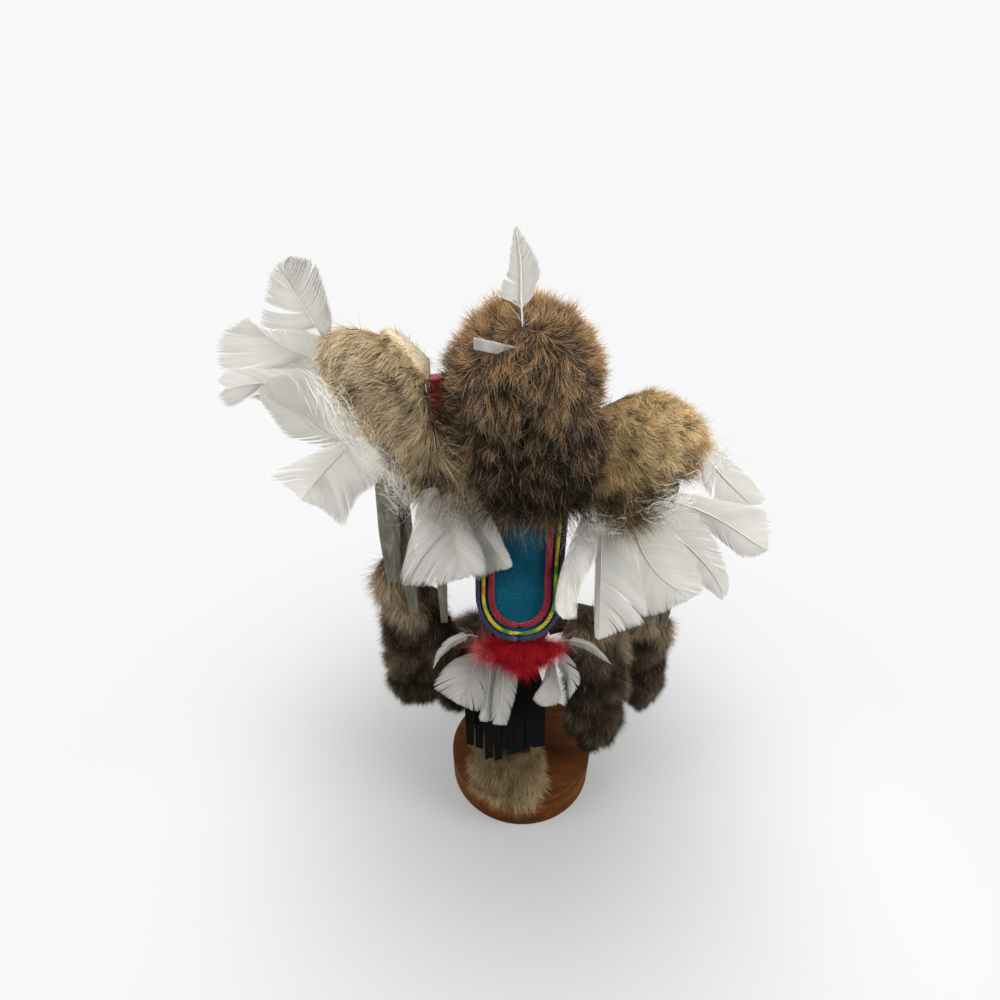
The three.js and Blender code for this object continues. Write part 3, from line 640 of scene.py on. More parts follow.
# Feathers: a shaft with barbs from it to two vane edges, (x, z) in mm, lying in the depths of root and tip
featherLook = {
    "spacing": 0.27, "fringe": 0.05, "frayed": 0.14, "shaft": (0.22, 0.2, 0.06), "shingle": 0.14, "bow": 0.08,
    "sweep": 1.6, "cup": 0.003, "shaftSteps": 120, "edgeSteps": 400, "downSteps": 60, "tubeSteps": 24, "whitest": 0.93,
    "wisps": 22, "looseTip": 0.03, "firstBarb": 0.85, "fullShaft": 45.0,
}
wisps = {  # loose strands at the root, where they aren't the usual number
    "left_feather_4": 80, "left_feather_5": 130, "left_feather_6": 40, "left_feather_7": 70, "right_feather_1": 60,
    "right_feather_6": 60, "right_feather_4": 40, "crown_feather": 14,
}
downs = {  # loose strands where quills go into the fur: how many, along which line, (x, y, z) in mm
    "left_feather_5": (560, [
        (84.6, 17.0, 262.7), (79.9, 20.0, 256.1), (75.4, 21.5, 248.3), (70.2, 22.0, 239.9), (64.3, 22.0, 232.5),
        (59.3, 21.0, 223.5), (55.9, 19.0, 213.5), (53.8, 16.0, 204.7)]),
    "right_feather_1": (130, [(-74.0, 12.0, 231.0), (-74.5, 13.0, 226.0), (-73.2, 14.0, 221.6), (-71.5, 14.0, 217.0)]),
    "right_feather_2": (170, [(-50, 19.5, 207), (-56, 19.5, 209.5), (-63, 17.5, 211), (-70, 14, 213)]),
    "right_feather_6": (150, [(-18, 25, 195), (-25, 22, 197), (-31, 20, 199), (-40, 20, 199)]),
    "left_feather_7": (90, [(50, 18, 206), (44, 20, 206), (38, 22, 206), (30, 22, 204)]),
}
featherShapes = {
    "left_feather_1": (((77, 2, 264), (93, 3, 299)),
        [(79, 265.3), (81.8, 272.2), (85.9, 281.1), (89.3, 288.4), (92.4, 294.7)],
        [(81.5, 268.3), (88.5, 274.6), (96.5, 275.7), (102.6, 275.4), (103.3, 276.8), (101.3, 281.5), (98.6, 287.4),
         (96.8, 291.2), (93.7, 295), (87.7, 298)],
        [(78.7, 269), (76.3, 279.1), (76.8, 284.4), (77.3, 290.9), (78.7, 295.9), (82.5, 297.7), (87.7, 298)]),
    "left_feather_2": (((74, 3.4, 256), (121, 5, 275)),
        [(75.7, 259.8), (79.5, 262.4), (95.9, 268.3), (107.6, 277.5)],
        [(72.8, 254), (81.4, 254.4), (94.8, 256.4), (109.9, 258.4), (120.4, 258.2), (121.8, 265.7), (117.9, 273.5),
         (107.2, 278.8)],
        [(74.6, 266.4), (84.6, 273.2), (94.4, 274.6), (102.8, 275), (107.2, 278.8)]),
    "left_feather_3": (((74, 4.8, 246), (125, 8, 254)),
        [(75.6, 251.7), (81.1, 254.1), (96.4, 255.8), (111.8, 255.3), (121.4, 253.3)],
        [(74.3, 237.8), (85.4, 242.1), (94.8, 245.5), (106.2, 247.3), (113.3, 249.9), (122.3, 246.6),
         (124.7, 251.1), (121.2, 254.1)],
        [(73.3, 258.6), (87.5, 261), (104.6, 261.2), (117.6, 261.2), (123.6, 257.2), (121.2, 254.1)]),
    "left_feather_4": (((73, 6.2, 231), (109, 10, 256)),
        [(77.2, 228.4), (82.4, 234.2), (91.1, 241.6), (101.6, 248.1), (106.2, 252.3)],
        [(79.3, 226.2), (88.8, 229.4), (97.1, 232.7), (102.5, 235.5), (105.8, 242.5), (108.3, 250), (107.7, 254.7)],
        [(69.7, 238.8), (72.9, 249), (80.2, 256.2), (89.6, 259.9), (100.1, 259.5), (107.7, 254.7)]),
    "left_feather_5": (((71, 7.8, 233), (97, 14, 201)),
        [(74.4, 233), (78.4, 229.2), (88.6, 219.9), (97, 211.6), (99.9, 208.4)],
        [(78.1, 233), (90, 229), (102.2, 224.4), (111.7, 220.8), (107.4, 215.4), (103.5, 211.7), (100.1, 207.5)],
        [(64.1, 229.5), (62, 222.8), (65.1, 215.1), (75.5, 208.1), (79.7, 201.9), (84.4, 195.3), (92.4, 202.9),
         (100.1, 207.5)]),
    "left_feather_6": (((37, 15.4, 216), (18, 22, 176)),
        [(32.9, 214.9), (28.6, 206.6), (21.8, 195.5), (14.8, 185), (10.2, 179.3)],
        [(33.2, 209.3), (29.9, 192.8), (25.8, 172.9), (17.1, 175.5), (10.2, 177.9)],
        [(22.4, 210.4), (16.5, 200.4), (11.6, 189), (8, 180.4), (10.2, 177.9)]),
    "left_feather_7": (((40, 17, 214), (37, 30, 172)),
        [(40.8, 215.7), (38.3, 208.3), (36, 201), (33.8, 190.1), (31.3, 178.1)],
        [(47.7, 213.8), (52.4, 197.3), (56.3, 184.2), (58, 175.2), (49.9, 173.4), (39.5, 173.6), (31.4, 175.8)],
        [(32.5, 212.9), (26.5, 198.8), (21, 186.9), (20.1, 179.1), (26, 177), (31.4, 175.8)]),
    "right_feather_1": (((-70, 2, 224), (-107, 3, 201)),
        [(-66, 231.5), (-74.3, 225.3), (-80.1, 218.8), (-89.3, 210.3), (-100.6, 201)],
        [(-66.5, 224.5), (-73.8, 218.7), (-77.5, 209.2), (-85, 201.7), (-95.5, 199.8), (-101.5, 199.4)],
        [(-68, 236), (-79.1, 229), (-90.3, 219.8), (-100.5, 211.4), (-106.5, 204.1), (-106.2, 200.6), (-101.5, 199.4)]),
    "right_feather_2": (((-68, 3.4, 206), (-117, 7, 183)),
        [(-65.4, 202.3), (-79.2, 197.3), (-92.1, 190.8), (-111.6, 178.9)],
        [(-65.8, 195.6), (-79.9, 189.9), (-92.1, 181.1), (-103.3, 173.3), (-110.4, 174.4), (-114.5, 178)],
        [(-67.2, 206.9), (-79.3, 204.9), (-93, 202.2), (-102.6, 201), (-108.2, 198.2), (-112.6, 188.7), (-114.5, 178)]),
    "right_feather_3": (((-52, 4.8, 200), (-101, 10, 154)),
        [(-54.1, 197.4), (-60.8, 190.1), (-75.8, 179.6), (-90.1, 165.2), (-98.2, 153.6)],
        [(-54.2, 184.6), (-67, 170.4), (-79.6, 159.4), (-89.1, 155.9), (-98.1, 149.5)],
        [(-59.4, 203.6), (-74.8, 198.6), (-87.1, 185.9), (-96.3, 169.5), (-100.3, 157.3), (-98.1, 149.5)]),
    "right_feather_4": (((-46, 6.2, 198), (-70, 13, 143)),
        [(-44.5, 198.2), (-49.4, 186.6), (-56.4, 173.8), (-65.6, 163.1), (-79.7, 153.3)],
        [(-38.7, 194), (-41.7, 176.8), (-46.7, 158.5), (-55.3, 144.1), (-67.3, 143.6), (-80.9, 151.7)],
        [(-55.3, 199.2), (-71.8, 183.8), (-82.6, 168.2), (-86.8, 157.5), (-80.9, 151.7)]),
    "right_feather_5": (((-34, 7.8, 203), (-46, 19, 134)),
        [(-32.6, 204.2), (-33.3, 189.8), (-34.4, 174.1), (-35.7, 152.7), (-36.5, 134.5)],
        [(-30, 199.1), (-31.1, 179.4), (-32.6, 155.3), (-33.9, 135.5), (-35.2, 131.8), (-37.2, 131.3)],
        [(-41.3, 199.1), (-50.8, 179.6), (-56.2, 158.6), (-58.9, 147), (-57, 141.6), (-50.8, 138.2), (-43.1, 134.2),
         (-37.2, 131.3)]),
    "right_feather_6": (((-29, 13.6, 208), (-17, 32.5, 157)),
        [(-28.6, 204.4), (-25.3, 196.8), (-19.4, 182.4), (-16.6, 168.2), (-14.8, 159.6)],
        [(-22.4, 200.6), (-16.9, 186.1), (-12.8, 172.5), (-11.5, 161.4), (-15.3, 156.6)],
        [(-31.8, 194.8), (-29.6, 180.2), (-24.9, 171.8), (-22.3, 163.7), (-21.4, 156.8), (-15.3, 156.6)]),
    "crown_feather": (((5.5, 18, 267), (9.5, 23, 313)),
        [(5.7, 275.3), (6.6, 286), (7, 295.9), (7.8, 302), (8.7, 307.4)],
        [(7.2, 285.5), (11.2, 287.2), (14.9, 288.8), (12.9, 292.6), (11.3, 296), (10.7, 301.4), (9.4, 307.6)],
        [(6, 285.5), (3.2, 287.6), (1.3, 291.9), (0.5, 295.6), (3, 301.2), (6.2, 305.2), (8.7, 308.2)]),
    "tail_feather_1": (((20, 20.5, 131), (38, 36, 99)),
        [(22.1, 127), (25.3, 121.1), (30.6, 108.9), (36.1, 100.6)],
        [(29.3, 124.4), (38.6, 121.6), (44.8, 116.5), (48.3, 110.9), (43.2, 105.5), (36.1, 100)],
        [(20.6, 118.2), (19.7, 105.3), (22.9, 96.8), (25.9, 94.3), (31.5, 97), (36.1, 100)]),
    "tail_feather_2": (((10, 22, 129), (22, 36.5, 86)),
        [(16.9, 130.3), (18.6, 115.5), (20.2, 100.3), (21.9, 88.3)],
        [(21.1, 118.1), (22.9, 103.2), (24.5, 92.3), (25.1, 89.2), (24, 87.7), (21.9, 87)],
        [(14.9, 117.8), (16.5, 102.7), (18.1, 91.5), (18.7, 88.4), (19.2, 87.1), (21.9, 87)]),
    "tail_feather_3": (((5, 23.5, 129), (13, 38, 86)),
        [(10.8, 131.7), (11.8, 116.7), (12.8, 101.4), (13.9, 87.8)],
        [(14.9, 119.2), (17.5, 104.4), (18.6, 92.1), (18.6, 88.7), (17.6, 87.4), (13.9, 86.7)],
        [(4.5, 119), (4.9, 103.7), (8, 92.6), (9.6, 87.4), (10.7, 86.3), (13.9, 86.7)]),
    "tail_feather_4": (((-9, 20.5, 131), (-12.5, 36, 92)),
        [(-13.4, 127), (-13.2, 118.4), (-12, 104.6), (-10.7, 96.3)],
        [(-11.7, 118.4), (-7.8, 106.4), (-3.6, 99.5), (-7.2, 96.3), (-10.6, 96)],
        [(-14.8, 118.4), (-17.8, 105.8), (-18.9, 99.9), (-16, 96.8), (-10.6, 96)]),
    "tail_feather_5": (((-13, 22, 131), (-27, 35, 106)),
        [(-13.1, 129.6), (-17, 122.5), (-21.3, 115.3), (-24.2, 109.7)],
        [(-15.7, 117.9), (-20.4, 110.9), (-21.5, 103.8), (-23.4, 105.4)],
        [(-18.9, 126.2), (-25.2, 119.9), (-27.7, 112.4), (-23.4, 105.4)]),
    "tail_feather_6": (((15, 23.5, 132), (47, 31, 126)),
        [(24.8, 138.3), (30.6, 139.7), (39.6, 135.4), (47.5, 123.4)],
        [(30.7, 136.5), (37.8, 133), (43.8, 128.4), (47.5, 122.8)],
        [(32.5, 142), (40.4, 138.8), (45.5, 131.7), (47.5, 122.8)]),
    "tail_feather_7": (((-11, 23.5, 132), (-40, 31, 126)),
        [(-16.2, 135.3), (-22, 135.9), (-31.4, 134.1), (-41.4, 126.5)],
        [(-22.3, 132.7), (-30.2, 130.6), (-36.7, 127.6), (-41.4, 126.5)],
        [(-22.9, 138), (-31.7, 136.1), (-37.7, 131.2), (-41.4, 126.5)]),
}
openings = {  # vane (1 or 2), place along its edge, width in mm
    "left_feather_1": [(1, 0.60, 3.0), (1, 0.42, 0.6)], "left_feather_2": [(1, 0.66, 1.2)],
    "left_feather_3": [(1, 0.5, 2.5), (1, 0.56, 1.5)], "left_feather_4": [(1, 0.30, 4.0), (1, 0.38, 3.0), (1, 0.45, 2.5)],
    "left_feather_5": [(1, 0.66, 1.6)], "left_feather_6": [(1, 0.4, 2.0), (1, 0.55, 1.2)],
    "left_feather_7": [(2, 0.45, 1.8), (2, 0.6, 1.4)], "right_feather_1": [(1, 0.6, 2.0), (2, 0.6, 1.5)],
    "right_feather_2": [(1, 0.5, 2.0), (1, 0.7, 1.2)], "right_feather_3": [(1, 0.5, 1.5)],
    "right_feather_4": [(1, 0.62, 2.0), (2, 0.5, 1.0)], "right_feather_5": [(2, 0.5, 1.6), (2, 0.7, 1.6)],
    "right_feather_6": [(1, 0.4, 1.2), (2, 0.8, 1.0)], "tail_feather_1": [(2, 0.5, 1.2), (1, 0.7, 0.5)],
    "tail_feather_3": [(2, 0.5, 1.2), (2, 0.7, 1.4)], "tail_feather_4": [(1, 0.5, 0.5)],
    "tail_feather_5": [(1, 0.25, 3.0), (1, 0.6, 2.0), (2, 0.45, 2.5), (2, 0.8, 1.5)],
    "tail_feather_6": [(1, 0.4, 1.6), (2, 0.5, 1.6)],
}


def barbStrand():
    alongs = [0.0, 0.3, 0.6, 0.86, 1.0]
    count = 2 * len(alongs)
    faces = [(a, a + 1, a + 3, a + 2) for a in range(0, count - 2, 2)]
    return strandObject("barbStrand", [(0, 0, 0)] * count, faces, np.repeat(alongs, 2), [-1, 1] * len(alongs))


def vaneTree():
    tree, ins, ends = newTree("featherVane", [
        ("Strand", "Object", None), ("Shaft", "Object", None), ("Material", "Material", None), ("Taper", "Float", 0.8)])
    w = Wire(tree)
    strand = w.node("GeometryNodeObjectInfo", {"Object": ins["Strand"]}, out="Geometry")
    barbs = w.node("GeometryNodeInstanceOnPoints", {"Points": ins["Geometry"], "Instance": strand})
    barbs = w.node("GeometryNodeRealizeInstances", {"Geometry": barbs})
    along, side = attribute(w, "along"), attribute(w, "side")
    wide = attribute(w, "wideRoot") * (1.0 - along) + attribute(w, "wideTip") * along
    wide = wide * (1.0 - along.between(0.84, 1.0) * ins["Taper"]) * side
    bend = along * (1.0 - along) * 4.0
    offset = vectorAttribute(w, "reach").scaled(along).plus(vectorAttribute(w, "bow").scaled(bend))
    offset = offset.plus(vectorAttribute(w, "across").scaled(wide))
    barbs = w.node("GeometryNodeSetPosition", {"Geometry": barbs, "Offset": offset})
    barbs = bakeMap(w, barbs, along, attribute(w, "tone") + side * 0.004)
    shaft = w.node("GeometryNodeObjectInfo", {"Object": ins["Shaft"]}, out="Geometry")
    x, _, z = w.node("GeometryNodeInputPosition").axes()
    shaft = bakeMap(w, shaft, 0.5 + x, 0.97 + z * 0.02)
    joined(w, ends, (barbs, shaft), ins["Material"])
    return tree


def evenCurve(points, count):  # a smooth line through the points, even in length
    p = np.asarray(points, float)
    p = np.vstack([2 * p[0] - p[1], p, 2 * p[-1] - p[-2]])
    t = np.linspace(0, 1, 24, endpoint=False)[:, None]
    runs = []
    for a, b, c, d in zip(p, p[1:], p[2:], p[3:]):
        runs.append(0.5 * (2 * b + (c - a) * t + (2 * a - 5 * b + 4 * c - d) * t ** 2 + (3 * b - a - 3 * c + d) * t ** 3))
    line = np.vstack(runs + [p[-2][None]])
    length = np.r_[0, np.cumsum(np.linalg.norm(np.diff(line, axis=0), axis=1))]
    even = np.linspace(0, length[-1], count)
    return np.stack([np.interp(even, length, line[:, k]) for k in range(p.shape[1])], axis=1), length[-1]


def pointOn(line, share):  # a point some share of the way along an even line
    return np.array([np.interp(share * (len(line) - 1), np.arange(len(line)), axis) for axis in line.T])


def nearestShare(line, point):
    return np.argmin(np.linalg.norm(line - point, axis=1)) / (len(line) - 1)


def roundAngles(sides):
    return 2 * math.pi * np.arange(sides) / sides


def ringMesh(name, rings):  # rings of points in mm, skinned and closed at both ends
    rows, sides = rings.shape[:2]
    faces = []
    for start in range(0, (rows - 1) * sides, sides):
        for k in range(sides):
            a, b = start + k, start + (k + 1) % sides
            faces.append((a, b, b + sides, a + sides))
    faces += [tuple(range(sides))[::-1], tuple(range((rows - 1) * sides, rows * sides))]
    return meshFrom(name, rings.reshape(-1, 3) * mm, faces)


def shaftRings(line, radii, sides=7):
    tangents = unit(np.gradient(line, axis=0))
    right = unit(np.cross(tangents, (0.0, 1.0, 0.0)))
    up = np.cross(right, tangents)
    turns = [right * math.cos(angle) + up * math.sin(angle) for angle in roundAngles(sides)]
    return np.stack([line + turn * radii[:, None] for turn in turns], axis=1)


featherLightAndShade = {  # painted light and shade: how white each is painted, lightest clear of the figure, darker over it, darkest as painted shade over the dark of the tail
    "left": [0.68, 0.8, 0.84, 0.88, 0.93, 0.5, 0.5], "right": [0.93, 0.93, 0.9, 0.86, 0.8, 0.7],
    "crown": [0.93], "tail": [0.26, 0.26, 0.24, 0.3, 0.34, 0.36, 0.36],
}


def featherPiece(node, shape, cuts, seed):
    look = featherLook
    (root, tip), shaftLine, *edges = shape
    group, *_, number = node.split("_")
    level = featherLightAndShade[group][int(number) - 1 if number.isdigit() else 0]
    root, tip = np.array(root, float), np.array(tip, float)
    span = (tip - root)[[0, 2]]
    rand = np.random.default_rng(seed)

    def lifted(flatLine):
        share = np.clip((flatLine - root[[0, 2]]) @ span / (span @ span), 0, 1.15)
        return np.stack([flatLine[:, 0], root[1] + (tip[1] - root[1]) * share ** 2, flatLine[:, 1]], axis=1)

    shaft, shaftLength = evenCurve(shaftLine, look["shaftSteps"])
    shaft = lifted(shaft)
    lastStep = look["shaftSteps"] - 1
    tangents = unit(np.gradient(shaft, axis=0))
    facing = unit(np.array([0.0, 1.0, 0.0]) - tangents * tangents[:, 1:2])
    store = {key: [] for key in ("at", "reach", "bow", "across", "wideRoot", "wideTip", "tone")}

    def add(*values):
        for key, value in zip(store, values):
            store[key].append(value)

    def addLoose(at, aim, long, bend, wide):
        add(at, aim * long, rand.normal(0, bend, 3) * long, unit(rand.normal(0, 1, 3)), wide, look["looseTip"],
            min(level + rand.uniform(-0.2, 0.1), look["whitest"]))

    for vane, edgeLine in enumerate(edges, 1):
        edge, edgeLength = evenCurve(edgeLine, look["edgeSteps"])
        edge = lifted(edge)
        lastEdge = look["edgeSteps"] - 1
        count = int(edgeLength / look["spacing"])
        first, last = nearestShare(shaft, edge[0]) * look["firstBarb"], nearestShare(shaft, edge[-1])
        share = (np.arange(count) + 0.5) / count
        ends = share.copy()
        for which, where, gap in cuts + [(vane, rand.uniform(0.15, 0.9), rand.uniform(0.2, 0.9)) for k in range(3)]:
            if which == vane:
                away = share - where
                ends += np.sign(away) * gap / edgeLength * 0.5 * np.exp(-np.abs(away) / 0.05)
        ends = np.clip(ends, 0, 1)
        tones = np.convolve(rand.uniform(0, 1, count + 14), np.ones(15) / 15, "valid")
        wideRoot = look["sweep"] * max(shaftLength * abs(last - first) / count, 0.2)
        for t, e, drift in zip(share, ends, tones):
            s = first + (last - first) * t ** look["sweep"]
            at, end = pointOn(shaft, s), pointOn(edge, e)
            index, step = int(s * lastStep), int(e * lastEdge)
            short = look["fringe"] + look["frayed"] * max(t - 0.55, 0)
            reach = (end - at) * (1 - short * rand.uniform(0, 1) ** 2.5)
            reach += rand.normal(0, 0.12, 3) + facing[index] * look["cup"] * np.linalg.norm(reach) ** 2
            bow = -tangents[index] * look["bow"] * np.linalg.norm(reach)
            along = unit(edge[min(step + 1, lastEdge)] - edge[max(step - 1, 0)])
            across = unit(along * math.cos(look["shingle"]) + facing[index] * math.sin(look["shingle"]))
            tone = level + (drift - 0.5) * 0.4 + rand.uniform(-0.06, 0.06)
            add(at, reach, bow, across, wideRoot, 0.95 * edgeLength / count, np.clip(tone, 0.02, look["whitest"]))
    for k in range(wisps.get(node, look["wisps"])):
        index = int(rand.uniform(0.0, 0.22) * lastStep)
        aim = tangents[index] * rand.uniform(0.1, 1) + np.cross(facing[index], tangents[index]) * rand.uniform(-1, 1)
        aim = aim + facing[index] * rand.uniform(0.0, 0.4)
        addLoose(shaft[index], unit(aim), rand.uniform(0.12, 0.34) * shaftLength, 0.16, 0.06)
    if node in downs:
        count, downLine = downs[node]
        steps = look["downSteps"]
        line = evenCurve(downLine, steps)[0]
        runs = unit(np.gradient(line, axis=0))
        for k in range(count):
            index = int(rand.uniform(0, steps))
            turn = 1 if index < steps / 4 else -1 if index > steps * 3 / 4 else rand.choice((-1, 1))
            aim = unit(runs[index] * turn + rand.normal(0, 0.32, 3))
            long = rand.uniform(5, 17)
            addLoose(line[index] + rand.normal(0, 1, 3) * (3.0, 1.6, 3.0), aim, long, 0.13, 0.09)
    points = bpy.data.meshes.new(node + "Barbs")
    points.from_pydata([tuple(p * mm) for p in store.pop("at")], [], [])
    for key, value in store.items():
        kind = "FLOAT_VECTOR" if np.ndim(value[0]) else "FLOAT"
        setAttribute(points, key, np.array(value) * (1 if key in ("tone", "across") else mm), kind)
    steps = look["tubeSteps"]
    radii = np.interp(np.linspace(0, 1, steps), [0, 0.3, 1], look["shaft"])
    radii *= 1.4 if group == "crown" else min(1.0, shaftLength / look["fullShaft"])
    core = shaft[np.linspace(0, lastStep, steps).astype(int)] + facing[0] * 0.25
    core = newObject(node + "Shaft", ringMesh(node + "Shaft", shaftRings(core, radii)))
    piece = grown(pieceName(node), points, vaneGrowth, {"Strand": barb, "Shaft": core, "Material": whiteFeather})
    drop(core)
    return place(piece, node, "white_feather")


# the tone runs from grey, which is painted shade, to white
def featherPaint(w):
    along, tone = bakedMap(w)
    vane = w.mix(tone, along.ramp((0.0, (0.21, 0.20, 0.18)), (0.5, (0.25, 0.24, 0.22)), (0.96, (0.20, 0.19, 0.175))),
                 along.ramp((0.0, (0.93, 0.91, 0.84)), (0.5, (0.98, 0.965, 0.90)), (0.96, (0.92, 0.90, 0.84))))
    return {"Base Color": w.mix(tone.between(0.95, 0.96), vane, flat((0.78, 0.76, 0.70)))}


whiteFeather = makeMaterial("whiteFeather", featherPaint, {"Roughness": 0.5, "Specular IOR Level": 0.3})
barb = barbStrand()
vaneGrowth = vaneTree()
for seed, (node, shape) in enumerate(featherShapes.items()):
    featherPiece(node, shape, openings.get(node, []), 100 + seed)
drop(barb)
print("feathers laid")


# Felt panels with their ribbon and yarns
panels = {
    "back": {"middle": 4.6, "half": 21, "top": 204, "foot": 141.6, "round": 19, "side": 1,
             "stand": [30, 26.5, 22, 18, 15.6, 14.8, 14.6, 14.6, 14.6]},
    "front": {"middle": 3, "half": 18, "top": 202, "foot": 108, "round": 16, "side": -1,
              "stand": [17.4, 16.4, 15.4, 15, 14.8, 14.4, 13.4, 13, 12.8]},
}
feltThick = 1.2
trims = {  # inset from the felt's edge and height over it, then the plies of the yarn, in mm and radians per metre
    "red_ribbon": {"inset": 7.6, "height": 0.7, "plies": 4, "radius": 0.75, "spread": 0.80, "turns": 600.0},
    "yellow_yarn": {"inset": 3.9, "height": 0.9, "plies": 3, "radius": 0.56, "spread": 0.52, "turns": 1100.0},
    "edge_yarn": {"inset": 1.2, "height": 0.8, "plies": 3, "radius": 0.62, "spread": 0.58, "turns": 900.0},
}


def panelDepth(panel, x, z):
    rise = np.clip((z - panel["foot"]) / (panel["top"] - panel["foot"]), 0, 1)
    stand = evenCurve([(k / 8, v) for k, v in enumerate(panel["stand"])], 200)[0]
    return panel["side"] * (np.interp(rise, stand[:, 0], stand[:, 1]) - 0.0045 * (x - panel["middle"]) ** 2)


def slabMesh(name, grids, thick, smooth=False):  # grids of points in mm, each made a closed slab
    points, faces = [], []
    for grid in grids:
        rows, columns = grid.shape[:2]
        start, count = len(points), rows * columns
        for shift in (thick / 2, -thick / 2):
            points += [tuple((p + np.array([0, shift, 0])) * mm) for p in grid.reshape(-1, 3)]
        order = np.arange(count).reshape(rows, columns)
        ring = [*order[0], *order[1:, -1], *order[-1, -2::-1], *order[-2:0:-1, 0]]
        for a in start + order[:-1, :-1].ravel():
            faces.append((a, a + columns, a + columns + 1, a + 1))
            faces.append(tuple(count + q for q in (a, a + 1, a + columns + 1, a + columns)))
        for a, b in zip(ring, ring[1:] + ring[:1]):
            faces.append((start + a, start + b, start + count + b, start + count + a))
    mesh = meshFrom(name, points, faces, smooth)
    turn = bmesh.new()
    turn.from_mesh(mesh)
    bmesh.ops.recalc_face_normals(turn, faces=turn.faces)
    turn.to_mesh(mesh)
    turn.free()
    return mesh


def panelGrid(panel, columns=44, rows=64):
    z = panel["top"] - (panel["top"] - panel["foot"]) * np.sin(np.linspace(0, math.pi / 2, rows))
    short = np.clip(panel["foot"] + panel["round"] - z, 0, panel["round"])
    half = panel["half"] - panel["round"] + np.sqrt(np.maximum(panel["round"] ** 2 - short ** 2, 0))
    x = panel["middle"] + np.outer(half, np.linspace(-1, 1, columns))
    z = np.repeat(z[:, None], columns, 1)
    return np.stack([x, panelDepth(panel, x, z), z], axis=2)


def trimLine(panel, inset, lift):  # down one side, round the foot and up the other
    half, bend = panel["half"] - inset, panel["round"] - inset
    low, inner = panel["foot"] + panel["round"], panel["half"] - panel["round"]
    line = [(half, z) for z in np.linspace(panel["top"] - 0.5, low, 60)]
    for angle in np.linspace(0, math.pi / 2, 40)[1:]:
        line.append((inner + bend * math.cos(angle), low - bend * math.sin(angle)))
    line += [(-x, z) for x, z in line[::-1]]
    x, z = np.array(line).T
    x = x + panel["middle"]
    return np.stack([x, panelDepth(panel, x, z) + panel["side"] * lift, z], axis=1)


def twistTree():
    tree, ins, ends = newTree("twistedYarn", [
        ("Material", "Material", None), ("Plies", "Int", 3), ("Ply Radius", "Float", 0.0005), ("Spread", "Float", 0.0005),
        ("Turns", "Float", 900.0)])
    w = Wire(tree)
    curve = w.node("GeometryNodeMeshToCurve", {"Mesh": ins["Geometry"]})
    length = w.node("GeometryNodeSplineParameter", out="Length")
    curve = w.node("GeometryNodeSetCurveTilt", {"Curve": curve, "Tilt": length * ins["Turns"]})
    ring = w.node("GeometryNodeMeshCircle", {"Vertices": ins["Plies"], "Radius": ins["Spread"]})
    circle = w.node("GeometryNodeCurvePrimitiveCircle", {"Resolution": 8, "Radius": ins["Ply Radius"]})
    plies = w.node("GeometryNodeInstanceOnPoints", {"Points": ring, "Instance": circle})
    plies = w.node("GeometryNodeRealizeInstances", {"Geometry": plies})
    yarn = w.node("GeometryNodeCurveToMesh", {"Curve": curve, "Profile Curve": plies, "Fill Caps": True})
    fuzz = wobble(w, w.node("GeometryNodeInputPosition"), 1400.0, 2.0).scaled(0.0005)
    yarn = w.node("GeometryNodeSetPosition", {"Geometry": yarn, "Offset": fuzz})
    yarn = w.node("GeometryNodeSetMaterial", {"Geometry": yarn, "Material": ins["Material"]})
    yarn = w.node("GeometryNodeSetShadeSmooth", {"Geometry": yarn, "Shade Smooth": True})
    tree.links.new(yarn.socket, ends.inputs[0])
    return tree


def lineMesh(name, line):
    mesh = bpy.data.meshes.new(name)
    mesh.from_pydata([tuple(p * mm) for p in line], [(k, k + 1) for k in range(len(line) - 1)], [])
    return mesh


def feltPaint(w):
    fine = noiseAt(w, objectPlace(w, (1, 1, 2.2)), 900.0, 4.0, 0.65)
    broad = noiseAt(w, objectPlace(w), 70.0, 2.0)
    tone = fine * 0.75 + broad * 0.35
    colour = tone.ramp((0.25, (0.003, 0.036, 0.068)), (0.55, (0.004, 0.078, 0.132)), (0.85, (0.018, 0.165, 0.235)))
    return {"Base Color": colour, "Normal": bumped(w, fine, 0.6, 0.0008)}


def yarnMaterial(name, *stops):
    def paint(w):
        slow = noiseAt(w, objectPlace(w), 110.0, 1.0)
        fine = noiseAt(w, objectPlace(w), 2600.0, 2.0)
        return {"Base Color": (slow + (fine - 0.5) * 0.35).ramp(*stops), "Normal": bumped(w, fine, 0.5, 0.0004)}
    return makeMaterial(name, paint, {"Roughness": 0.85, "Specular IOR Level": 0.15, "Sheen Weight": 0.25})


